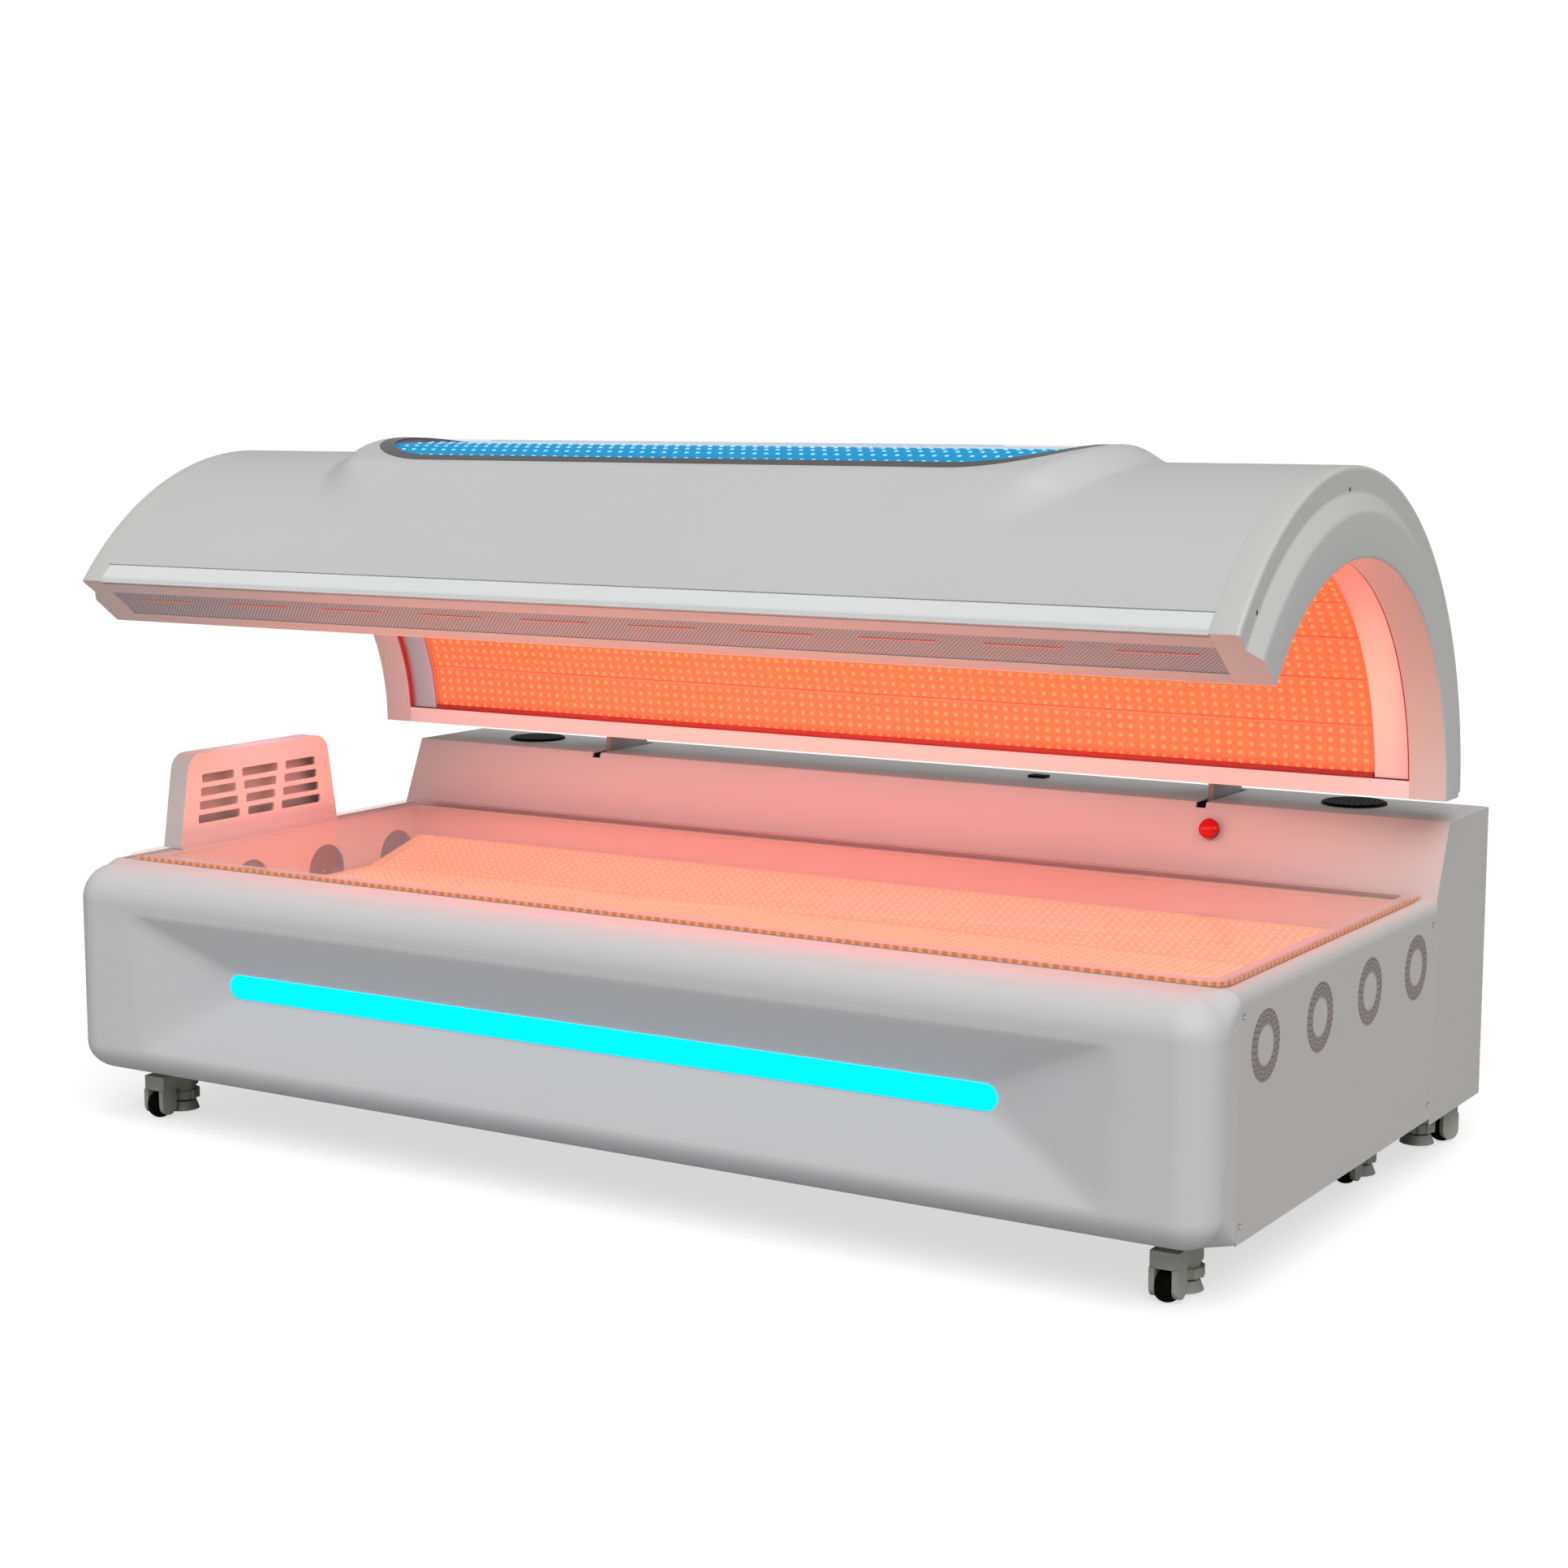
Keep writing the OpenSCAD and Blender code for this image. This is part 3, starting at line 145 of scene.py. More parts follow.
def swell(theta):
    """Extra radius over the top of the canopy.

    10 cos^2(90 deg * |theta - 86| / reach) mm, with a reach of 56 deg towards the lip and 76 deg to the rear."""
    t = np.asarray(theta, float)
    reach = np.where(t > 86, 56.0, 76.0)
    return 10.0 * np.cos(np.clip(np.abs(t - 86) / reach, 0, 1) * math.pi / 2) ** 2


def round_middle(radius, a, x):
    """Points at a radius from the arch's middle line and an angle in radians from the rear."""
    return np.stack([x, ARCH_Y + radius * np.cos(a), ARCH_Z + radius * np.sin(a)], -1)


def on_arch(radius, theta, x):
    """Points of the canopy: radius before it swells, angle in degrees from the rear, place along X."""
    radius, theta, x = np.broadcast_arrays(*(np.asarray(a, float) for a in (radius, theta, x)))
    r = radius + swell(theta) * np.clip((radius - RING_R) / (ARCH_R - RING_R), 0, 1)
    return round_middle(r, np.radians(theta), x)


def arch_loft(name, profile, a0, a1, material, steps=96, side=1, **more):
    """A closed profile of (radius, x) carried round the canopy's arch from angle a0 to a1."""
    profile = np.asarray(profile, float)
    theta = np.linspace(a0, a1, steps)
    sections = on_arch(profile[None, :, 0], theta[:, None], side * profile[None, :, 1])
    return loft(name, sections, material, "canopy", **more)


def corner(cx, cy, r, a0, a1, steps=8):
    """Points of a round corner about (cx, cy), from angle a0 to a1 in degrees."""
    a = np.radians(np.linspace(a0, a1, steps))
    return np.stack([cx + r * np.cos(a), cy + r * np.sin(a)], -1)


def eased_outline(points, radii, steps=6):
    """Closed outline whose corners are rounded, hollow ones too.

    Each corner becomes the quadratic curve (1-t)^2 a + 2t(1-t) p + t^2 b between points a and b on its two
    sides, at radius * tan(half the turn) from the corner p."""
    p = np.asarray(points, float)
    before, after = np.roll(p, 1, 0) - p, np.roll(p, -1, 0) - p
    before /= np.linalg.norm(before, axis=1, keepdims=True)
    after /= np.linalg.norm(after, axis=1, keepdims=True)
    turn = math.pi - np.arccos(np.clip((before * after).sum(1), -1, 1))
    reach = (np.asarray(radii, float) * np.tan(turn / 2))[:, None]
    a, b = (p + before * reach)[:, None], (p + after * reach)[:, None]
    t = np.linspace(0, 1, steps)[None, :, None]
    return ((1 - t) ** 2 * a + 2 * t * (1 - t) * p[:, None] + t ** 2 * b).reshape(-1, 2)


def box_profile(x0, x1, y0, y1, r):
    """Rectangle with round corners, counter-clockwise."""
    return np.concatenate([corner(x1 - r, y0 + r, r, -90, 0, 4), corner(x1 - r, y1 - r, r, 0, 90, 4),
                           corner(x0 + r, y1 - r, r, 90, 180, 4), corner(x0 + r, y0 + r, r, 180, 270, 4)])


def screw_heads(name, face_x, places, profile, steps, material, body):
    """Dished screw heads on both end faces: a profile of (radius, height) turned about X at each (y, z)."""
    a = np.linspace(0, TAU, steps + 1)[:-1]
    points, quads = [], []
    for side in (-1, 1):
        for y, z in places:
            base = len(points) * len(profile) * steps
            rows = [np.stack([np.full(steps, side * (face_x + h)), y + r * np.cos(a), z + r * np.sin(a)], -1)
                    for r, h in profile]
            points.append(np.concatenate(rows))
            quads += [tuple(f + base) for f in grid_quads(len(profile), steps, close_v=True)]
    return make_piece(name, np.concatenate(points), quads, material, body, slot="bright_steel", merge=True)


def softened(node, material, width, body, smooth=35):
    """Copy of a flat-sided CAD node with its loose triangles merged and its edges eased by a small radius."""
    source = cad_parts[node]
    mesh = source.data.copy()
    mesh.name = node + "_eased"
    bm = bmesh.new()
    bm.from_mesh(mesh)
    bmesh.ops.remove_doubles(bm, verts=bm.verts, dist=WELD_M)
    bmesh.ops.dissolve_limit(bm, angle_limit=math.radians(1), verts=bm.verts, edges=bm.edges)
    bm.to_mesh(mesh)
    bm.free()
    mesh.materials.clear()
    mesh.materials.append(material)
    piece = bpy.data.objects.new(node + "_eased", mesh)
    bpy.context.scene.collection.objects.link(piece)
    shade(piece, smooth)
    if width:
        bevel = piece.modifiers.new("eased_edges", "BEVEL")
        bevel.width = width * MM
        bevel.segments = 2
        bevel.limit_method = "ANGLE"
        bevel.angle_limit = math.radians(50)
        bevel.use_clamp_overlap = True
        bevel.harden_normals = True
    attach(piece, body)
    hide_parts(node)
    return piece


# Materials

def linear(code):
    """sRGB hex colour as the linear RGBA that shader sockets take."""
    c = np.array([int(code[i:i + 2], 16) for i in (1, 3, 5)]) / 255
    c = np.where(c <= 0.04045, c / 12.92, ((c + 0.055) / 1.055) ** 2.4)
    return (*c.tolist(), 1.0)


def add(tree, kind, inputs=None, **settings):
    """Adds a node with its settings; an input is a value or the output that feeds it."""
    node = tree.nodes.new(kind)
    for key, value in settings.items():
        setattr(node, key, value)
    for key, value in (inputs or {}).items():
        if isinstance(value, bpy.types.NodeSocket):
            tree.links.new(value, node.inputs[key])
        else:
            node.inputs[key].default_value = value
    return node


def finish_material(name, base, low, grain_mm=3.0, relief=0.0, cloud_mm=400.0, rough=(0.3, 0.4),
                    stretch=(1, 1, 1), gloss=0.5, **shader):
    """Principled material: a slow colour cloud between two hex colours, and a fine noise for roughness and relief."""
    material = bpy.data.materials.new(name)
    material.use_nodes = True
    tree = material.node_tree
    tree.nodes.clear()
    out = add(tree, "ShaderNodeOutputMaterial")
    surface = add(tree, "ShaderNodeBsdfPrincipled", {"Specular IOR Level": gloss, **shader})
    tree.links.new(surface.outputs[0], out.inputs[0])
    place = add(tree, "ShaderNodeTexCoord").outputs["Object"]
    cloud = add(tree, "ShaderNodeTexNoise", {"Vector": place, "Scale": 1000 / cloud_mm, "Detail": 2.0})
    tint = add(tree, "ShaderNodeMix", {0: cloud.outputs[0], 6: linear(low), 7: linear(base)}, data_type="RGBA")
    tree.links.new(tint.outputs[2], surface.inputs["Base Color"])
    pulled = add(tree, "ShaderNodeMapping", {"Vector": place, "Scale": stretch})
    grain = add(tree, "ShaderNodeTexNoise", {"Vector": pulled.outputs[0], "Scale": 1000 / grain_mm, "Detail": 3.0})
    sheen = add(tree, "ShaderNodeMapRange", {"Value": grain.outputs[0], "From Min": 0.35, "From Max": 0.65,
                                             "To Min": rough[0], "To Max": rough[1]})
    tree.links.new(sheen.outputs[0], surface.inputs["Roughness"])
    if relief:
        bump = add(tree, "ShaderNodeBump", {"Height": grain.outputs[0], "Strength": 0.5, "Distance": relief * MM})
        tree.links.new(bump.outputs[0], surface.inputs["Normal"])
    return material


def repaint(material, mask, code):
    """Lays a second colour over a material's own where a mask is one."""
    tree = material.node_tree
    surface = next(n for n in tree.nodes if n.type == "BSDF_PRINCIPLED")
    tint = next(n for n in tree.nodes if n.type == "MIX")
    over = add(tree, "ShaderNodeMix", {0: mask, 6: tint.outputs[2], 7: linear(code)}, data_type="RGBA")
    tree.links.new(over.outputs[2], surface.inputs["Base Color"])
    return material


def math_node(tree, operation, *values):
    """Output of a Math node over values or other outputs."""
    return add(tree, "ShaderNodeMath", dict(enumerate(values)), operation=operation).outputs[0]


def ramp(tree, value, low, high):
    """Zero below low, one above high, straight between."""
    return add(tree, "ShaderNodeMapRange", {"Value": value, "From Min": low, "From Max": high}).outputs[0]


def object_place(material, turn=0.0):
    """X, Y and Z of a material's Object coordinates in metres, turned back about X by an angle in degrees."""
    tree = material.node_tree
    place = next(n for n in tree.nodes if n.type == "TEX_COORD").outputs["Object"]
    if turn:
        place = add(tree, "ShaderNodeMapping", {"Vector": place, "Rotation": (math.radians(-turn), 0, 0)}).outputs[0]
    return add(tree, "ShaderNodeSeparateXYZ", {0: place}).outputs


def powder_coat(name, base, low, rough=(0.42, 0.5), relief=0.05):
    """Satin powder coat on steel sheet, whose peel is about 1.5 mm across."""
    return finish_material(name, base, low, grain_mm=1.5, relief=relief, rough=rough, IOR=1.5)


def metal(name, base, low, grain_mm, rough, stretch=(1, 1, 1)):
    """Bare or anodised metal; where it is stretched, drawn lines run along the bed."""
    return finish_material(name, base, low, grain_mm=grain_mm, stretch=stretch, rough=rough, Metallic=1.0)


# Canopy shell: ABS sheet, thermoformed and lacquered; a satin skin with a trace of orange peel
abs_shell = finish_material("abs_canopy_shell", "#CBCBCB", "#C8C8C8",
                            grain_mm=4, relief=0.04, rough=(0.36, 0.42), IOR=1.53)
# End rings: the same sheet and lacquer
abs_ring = finish_material("abs_end_ring", "#CBCBC9", "#C8C8C6", grain_mm=4, relief=0.04, rough=(0.38, 0.45), IOR=1.53)
# Front cover: thermoformed ABS, satin lacquer
abs_cover = finish_material("abs_front_cover", "#CFCFD0", "#CCCCCE",
                            grain_mm=4, relief=0.04, rough=(0.5, 0.56), gloss=0.3)
# Folded and welded steel: end panels, back cover, rear cabinet, frame, hinge arms, control box, tub and deck
powder_grey = powder_coat("powder_coated_panel", "#CDCBC9", "#C8C7C5")
powder_back = powder_coat("powder_coated_back", "#B4B4B5", "#AEAEAF")
powder_cabinet = powder_coat("powder_coated_cabinet", "#CBC8C6", "#C6C4C2", (0.38, 0.46))
powder_black = powder_coat("powder_coated_frame", "#54565A", "#4C4E51", (0.45, 0.55), relief=0.06)
powder_arm = powder_coat("powder_coated_arm", "#A5A3A3", "#9B9999", (0.4, 0.48))
powder_box = powder_coat("powder_coated_box", "#76777A", "#6E6F72", (0.45, 0.55))
tub_paint = powder_coat("powder_coated_tub", "#D8CFCB", "#CEC5C1", (0.4, 0.5))
# Channel of the light bar: extruded aluminium, anodised
anodised_channel = metal("anodised_deck", "#C4C4C6", "#B8B8BA", 0.8, (0.28, 0.42), (0.02, 1, 1))
# Lip strips and rear rail: extrusions in white gloss lacquer
lacquered_trim = finish_material("white_lacquered_trim", "#E6E8E8", "#E0E2E2",
                                 grain_mm=3, relief=0.02, rough=(0.2, 0.26), IOR=1.5)
# Reflector strips: bright-anodised aluminium sheet, satin
bright_reflector = metal("anodised_reflector", "#ECE4EA", "#E2DAE0", 3, (0.42, 0.5))
# Dark red matt strips in the gaps beside the boards: painted shade, the shadow in those gaps tinted by the boards' red
# light
red_shadow_paint = finish_material("painted_red_shadow_gap", "#A83A38", "#9C3232", grain_mm=2, rough=(0.5, 0.6), IOR=1.41)
# Power supply cases: plain aluminium
case_aluminium = metal("aluminium_case", "#B4B5B7", "#AAABAD", 1.0, (0.32, 0.48), (0.05, 1, 1))
# Turned and ground steel of pins and rods
ground_steel = metal("ground_steel", "#C6C7C9", "#BBBCBE", 0.6, (0.16, 0.28), (0.1, 1, 1))
# Flanges under the lip: the same lacquer, painted darker for the shade under the lip
lacquered_flange_painted_shade = finish_material("lacquered_flange_painted_shade", "#CECBCA", "#C6C3C2",
                                   grain_mm=1.5, relief=0.03, rough=(0.4, 0.5), IOR=1.5)
# Injection-moulded black ABS and nylon, finely eroded surface
moulded_black = finish_material("moulded_black_abs", "#0C0C0D", "#080809",
                                grain_mm=0.7, relief=0.03, rough=(0.4, 0.55), gloss=0.1)
moulded_fan = finish_material("moulded_fan_plastic", "#262224", "#1F1C1D",
                              grain_mm=0.7, relief=0.03, rough=(0.45, 0.6), IOR=1.55)
# Stop button: glossy red injection moulding
red_moulding = finish_material("moulded_red_button", "#D00412", "#C40210",
                               grain_mm=3, relief=0.01, rough=(0.18, 0.26), gloss=0.3)
# Gas spring tubes: glossy black enamel
black_enamel = finish_material("black_enamel_tube", "#141415", "#0F0F10",
                               grain_mm=3, relief=0.01, rough=(0.15, 0.22), IOR=1.5)
# Window border: black-printed edge of the acrylic, glossy
window_border = finish_material("window_border_print", "#5A5A5A", "#4A4A4A", grain_mm=3, rough=(0.16, 0.22), IOR=1.49)
# Caster forks: die-cast, painted grey-green; soft black tyres
cast_paint = finish_material("painted_die_casting", "#B6B8AF", "#A9ABA2",
                             grain_mm=1.2, relief=0.06, rough=(0.42, 0.52), IOR=1.5)
tyre_rubber = finish_material("tyre_rubber", "#0D0D0C", "#090908",
                              grain_mm=0.9, relief=0.05, rough=(0.6, 0.75), gloss=0.05)


def perforated(name, base, low, hole_mm, turn, rough):
    """Powder-coated sheet with staggered holes painted as dark spots, painted shade of the space behind them, where
    cos(2 pi u / hole) cos(2 pi v / hole) is high.

    u runs along the bed and v across the sheet, which is turned about X by the angle in degrees."""
    material = finish_material(name, base, low, grain_mm=1.5, rough=rough, IOR=1.5)
    tree = material.node_tree
    place = object_place(material, turn)
    waves = TAU / (hole_mm * MM)
    u, v = (math_node(tree, "COSINE", math_node(tree, "MULTIPLY", place[axis], waves)) for axis in (0, 1))
    # Painted shade: dark spots where the openings are
    return repaint(material, ramp(tree, math_node(tree, "MULTIPLY", u, v), 0.1, 0.5), "#5A4C52")


# Grille under the lip: expanded steel sheet, powder coated; its openings are painted dark as painted shade, drawn 7 mm
# apart so that they show
lip_grille = perforated("expanded_lip_grille", "#B4C4CE", "#A9B9C3", 7.0, ARCH_END, (0.45, 0.55))


def vent_finish_painted_shade():
    """Panel's coat on a punched sheet, with painted shade over the ring of holes: darker there for the dark inside seen
    through them.

    The ring is where the distance to the nearest vent's middle is over 29 mm: sqrt(y'^2 + (z - 368)^2), with
    y' the place along the panel wrapped to 212 mm round each middle."""
    material = powder_coat("powder_coated_vent_painted_shade", "#CDCBC9", "#C8C7C5")
    tree = material.node_tree
    place = object_place(material)
    middle, half = VENTS[0] * MM, (VENTS[1] - VENTS[0]) / 2 * MM
    across = math_node(tree, "SUBTRACT", math_node(tree, "WRAP", place[1], middle - half, middle + half), middle)
    up = math_node(tree, "SUBTRACT", place[2], VENT_Z * MM)
    spot = add(tree, "ShaderNodeCombineXYZ", {0: across, 1: up}).outputs[0]
    distance = add(tree, "ShaderNodeVectorMath", {0: spot}, operation="LENGTH").outputs[1]
    # Painted shade: the ring of holes is darkened for the dark inside seen through them
    return repaint(material, ramp(tree, distance, 0.0275, 0.0305), "#9A908E")


# Vent grilles: punched steel sheet, powder coated, with painted shade over the ring of holes
vent_paint_painted_shade = vent_finish_painted_shade()


def lit(name, glow, strength, base, rough=(0.3, 0.4), gloss=0.5):
    """A finish with its own light of one colour and strength."""
    return finish_material(name, base, base, grain_mm=3, rough=rough, gloss=gloss, IOR=1.5,
                           **{"Emission Color": linear(glow), "Emission Strength": strength})


# LED boards: white solder mask flooded by their own red light; the bed's are seen paler through the sheet
red_board = lit("led_board_red", "#FF5D27", 0.57, "#E07A5C")
bed_board = lit("led_board_bed", "#FFC080", 0.42, "#E08A78")
# LED packages: amber-looking chips under clear resin
led_chip = lit("led_chip_amber", "#FF9658", 0.56, "#FF9C68")
bed_chip = lit("led_chip_bed", "#FFB880", 0.5, "#FFC49A")
# Joints between the boards: thin pink strips with a painted glow of the boards' red light
joint_painted_glow = lit("board_joint_painted_glow", "#FF6A48", 0.5, "#E8846C")
# Window's LED board and chips
blue_board = lit("led_board_blue", "#0098CC", 0.8, "#0E6890", (0.5, 0.6), 0.1)
blue_chip = lit("led_chip_blue", "#A8E4FF", 1.0, "#90C8E0", (0.5, 0.6), 0.1)
# Slits under the lip: the glow of the boards behind them, dulled by the sheet
lit_slit = lit("slit_glow", "#FF6848", 0.35, "#C07868")
# Front light bar: opal acrylic over a cyan LED strip
opal_cyan = lit("opal_acrylic_cyan", "#00C2FF", 1.85, "#00A0B0", (0.6, 0.7), 0.02)


def clear_acrylic(name, tint, alpha, rough, gloss=0.5):
    """Cast acrylic sheet: clear, IOR 1.49, with the faintest wipe marks in its gloss."""
    return finish_material(name, tint, tint, grain_mm=60, rough=rough, gloss=gloss, IOR=1.49, Alpha=alpha)


bed_acrylic = clear_acrylic("cast_acrylic_sheet", "#E8D8D4", 0.22, (0.01, 0.03))
# Margin of the lying sheet: frosted from below, half clear
frosted_border = clear_acrylic("frosted_acrylic_border", "#D8CCCE", 0.5, (0.3, 0.4))
window_acrylic = clear_acrylic("cast_acrylic_window", "#1890C8", 0.15, (0.02, 0.04), 0.08)


def edge_glow():
    """Polished acrylic edge with the chips' light in it: amber dots where cos(2 pi (x + y) / 16.5) is high."""
    material = lit("lit_acrylic_edge", "#D87048", 0.25, "#B07C6C")
    tree = material.node_tree
    place = object_place(material)
    along = math_node(tree, "ADD", place[0], place[1])
    wave = math_node(tree, "COSINE", math_node(tree, "MULTIPLY", along, TAU / (CHIP_PITCH * MM)))
    return repaint(material, ramp(tree, wave, -0.2, 0.8), "#E8A468")


lit_edge = edge_glow()


# Front cover

def recess_depth(x, z):
    """Depth of the hip-shaped recess at (x, z).

    The outline shrinks evenly from a round-cornered rectangle at the face to the light bar's stadium at the
    bottom: at share t its core is lerp(core0, core1, t) and its corner radius 24 - 2 t. The share at a point
    is found by halving. With q = share * RECESS, the edge at the face is eased as (q + sqrt(q^2 + 4)) / 2,
    and the ease fades out between 8 and 18 mm outside the outline."""
    mouth_z, mouth_x, mouth_half, mouth_r, lean = 268.0, 909.5, 96.0, 24.0, 8.5
    lo, hi = np.full(x.shape, -0.6), np.full(x.shape, 1.0)
    for _ in range(24):
        t = (lo + hi) / 2
        mid = mouth_z + (LIGHT_Z - mouth_z) * t
        skew = lean * (z - mouth_z) / (mouth_half + mouth_r) * (1 - t)
        ax = mouth_x + (LIGHT_X - mouth_x) * t + skew
        az = mouth_half * (1 - t)
        qx, qz = np.abs(x) - ax, np.abs(z - mid) - az
        d = np.hypot(np.maximum(qx, 0), np.maximum(qz, 0)) + np.minimum(np.maximum(qx, qz), 0) - (mouth_r - 2 * t)
        inside = d < 0
        lo, hi = np.where(inside, t, lo), np.where(inside, hi, t)
    q = (lo + hi) / 2 * RECESS
    eased = (q + np.sqrt(q * q + 4.0)) / 2
    return np.where(q < -18, 0, np.minimum(eased, RECESS)) * np.clip((q + 18) / 10, 0, 1)


def front_cover():
    """Face patch with the recess, and rings that carry its rectangle round the cover's edges to the seam.

    A ring point is the rectangle's edge point plus (rx cos a, rz sin a) sin(b), at depth ry (1 - cos b) plus
    the recess's depth at the same place laid flat, (rx cos a, rz sin a) b; past the quarter turn the corners
    tighten in a straight line from those radii to the seam's own."""
    rx, rt, rb, ry = 60.0, 60.0, 50.0, 60.0
    x1, z0, z1 = HALF - rx, BASE + rb, DECK - rt
    fine_x, fine_z0, fine_z1 = 880, 156, 380
    coarse = np.linspace(-fine_x, fine_x, 177)
    ends = np.linspace(fine_x, x1, 48)[1:]
    xs = np.concatenate([-ends[::-1], coarse, ends])
    zs = np.concatenate([np.linspace(z0, fine_z0, 6), np.linspace(fine_z0, fine_z1, 57), np.linspace(fine_z1, z1, 13)])
    zs = np.unique(np.round(zs, 3))
    gx, gz = np.meshgrid(xs, zs, indexing="ij")
    face = np.stack([gx, FRONT + recess_depth(gx, gz), gz], -1)
    quads = [tuple(f) for f in grid_quads(len(xs), len(zs))]

    turn = np.radians(np.linspace(0, 90, 9))

    def edge(px, pz, a, r2, rv):
        n = max(len(np.atleast_1d(px)), len(np.atleast_1d(pz)), len(np.atleast_1d(a)))
        return np.stack([np.broadcast_to(v, n).astype(float) for v in (px, pz, a, r2, rv)], -1)

    ring = np.concatenate([
        edge(xs, z0, -np.pi / 2, 0, rb),
        edge(x1, z0, -turn[::-1][1:-1], LOW_ROUND, rb), edge(x1, zs, 0.0, 0, rt),
        edge(x1, z1, turn[1:-1], TOP_ROUND, rt), edge(xs[::-1], z1, np.pi / 2, 0, rt),
        edge(-x1, z1, turn[1:-1] + np.pi / 2, TOP_ROUND, rt), edge(-x1, zs[::-1], np.pi, 0, rt),
        edge(-x1, z0, turn[1:-1] + np.pi, LOW_ROUND, rb)])
    px, pz, a, seam_r, rv = ring.T
    ca, sa = np.cos(a), np.sin(a)
    rows = []
    for b in np.radians(np.linspace(0, 90, 15)):
        eased = recess_depth(px + rx * ca * b, pz + rv * sa * b) if b < 1.2 else 0
        rows.append(np.stack([px + rx * ca * math.sin(b), FRONT + ry * (1 - math.cos(b)) + eased + 0 * px,
                              pz + rv * sa * math.sin(b)], -1))
    at_turn = rows[-1]
    is_corner = seam_r > 0
    cx = np.sign(px) * (HALF - seam_r)
    cz = np.where(sa > 0, DECK - seam_r, BASE + seam_r)
    seam = np.stack([np.where(is_corner, cx + seam_r * ca, at_turn[:, 0]), np.full_like(px, SEAM),
                     np.where(is_corner, cz + seam_r * sa, at_turn[:, 2])], -1)
    flat_top = (np.abs(sa) > 0.999) & ~is_corner
    seam_x = np.where(sa > 0, HALF - TOP_ROUND, HALF - LOW_ROUND)
    seam[:, 0] = np.where(flat_top, px * (seam_x / x1), seam[:, 0])
    flat_side = (np.abs(ca) > 0.999) & ~is_corner
    stretch = (pz - z0) / (z1 - z0)
    low, high = BASE + LOW_ROUND, DECK - TOP_ROUND
    seam[:, 2] = np.where(flat_side, low + stretch * (high - low), seam[:, 2])
    for t in np.linspace(0, 1, 6)[1:]:
        rows.append(at_turn * (1 - t) + seam * t)
    rows = np.array(rows)
    base = face.reshape(-1, 3).shape[0]
    quads += [tuple(f + base) for f in grid_quads(len(rows), len(ring), close_v=True)]
    points = np.concatenate([face.reshape(-1, 3), rows.reshape(-1, 3)])
    piece = make_piece("front_cover_skin", points, quads, abs_cover, "bed", ["front_cover"], "cover_moulding",
                       smooth=32, merge=True)
    turn_towards(piece, 1, -1)
    return thicken(piece, SKIN)


def front_light():
    """Opal bar: stadium outline whose face crowns by 1.5 mm and whose edge is eased by 2 mm."""
    a = np.radians(np.linspace(-90, 90, 33))
    right = np.stack([LIGHT_X + LIGHT_R * np.cos(a), LIGHT_R * np.sin(a)], -1)
    x, z = np.concatenate([right, -right]).T
    face = FRONT + RECESS - 2
    rows = []
    for inset, depth in ((0, 9), (0, 2), (0.6, 0.6), (2.0, 0.0), (8, -0.8), (14, -1.3), (20, -1.5)):
        k = (LIGHT_R - inset) / LIGHT_R
        shrunk = np.sign(x) * (LIGHT_X + (np.abs(x) - LIGHT_X) * k)
        rows.append(np.stack([shrunk, np.full(len(x), face + depth), z * k + LIGHT_Z], -1))
    return loft("front_light_lens", rows, opal_cyan, "bed", instead=["front_light_bar"], slot="light_diffuser", smooth=50)


# Bed cabinet

def end_panel(side):
    """Folded panel: cells, each a fan of quads between a vent's circle and its rectangle, and the bend carried
    over to the flange beside the lying sheet. Each quarter of a fan runs from one corner's angle to the next."""
    x, bend, top, per = HALF, TOP_ROUND, DECK - TOP_ROUND, 18
    points, quads = [], []

    def sheet(p):
        base = sum(len(q) for q in points)
        points.append(p.reshape(-1, 3))
        quads.extend(tuple(f + base) for f in grid_quads(*p.shape[:2]))

    bounds = [SEAM + 0.5] + [(VENTS[i] + VENTS[i + 1]) / 2 for i in range(3)] + [FOOT - 0.5]
    low, high = BASE, top - 6
    border = []
    for i, y in enumerate(VENTS):
        y0, y1 = bounds[i], bounds[i + 1]
        under, over = low - VENT_Z, high - VENT_Z
        corners = np.arctan2([under, over, over, under, under], [y1 - y, y1 - y, y0 - y, y0 - y, y1 - y])
        corners[3:] += TAU
        a = np.concatenate([np.linspace(corners[j], corners[j + 1], per + 1)[:per] for j in range(4)] + [corners[4:]])
        c, s = np.cos(a), np.sin(a)
        upper = slice(per, 2 * per + 1)
        border.append(y + over * c[upper] / s[upper])
        reach = np.minimum(np.where(c > 0, y1 - y, y - y0) / np.maximum(np.abs(c), 1e-9),
                           np.where(s > 0, over, -under) / np.maximum(np.abs(s), 1e-9))
        k = np.array([0, 0.06, 0.94, 1.0])[:, None]
        r = VENT_R * (1 - k) + reach[None] * k
        sheet(np.stack([np.full(r.shape, x), y + r * c, VENT_Z + r * s], -1))
        sheet(np.stack([np.stack([np.full_like(a, x - d), y + VENT_R * c, VENT_Z + VENT_R * s], -1) for d in (3, 0)]))
    ys = np.sort(np.concatenate(border))
    ys = ys[np.concatenate([[True], np.diff(ys) > 0.01])]
    a = np.radians(np.linspace(0, 90, 13))
    px = np.concatenate([[x], x - bend + bend * np.cos(a), [GLASS_X + 1.5]])
    pz = np.concatenate([[high], top + bend * np.sin(a), [DECK]])
    gy, gi = np.meshgrid(ys, np.arange(len(px)), indexing="ij")
    sheet(np.stack([px[gi], gy, pz[gi]], -1))
    pts = np.concatenate(points)
    pts[:, 0] *= side
    name = "end_panel_right" if side > 0 else "end_panel_left"
    piece = make_piece(name + "_sheet", pts, quads, powder_grey, "bed", [name], "panel_sheet", smooth=30, merge=True)
    bm = bmesh.new()
    bm.from_mesh(piece.data)
    bmesh.ops.reverse_faces(bm, faces=[f for f in bm.faces if f.normal.x * side + f.normal.z < -0.5])
    bm.to_mesh(piece.data)
    bm.free()
    return thicken(piece, PANEL)


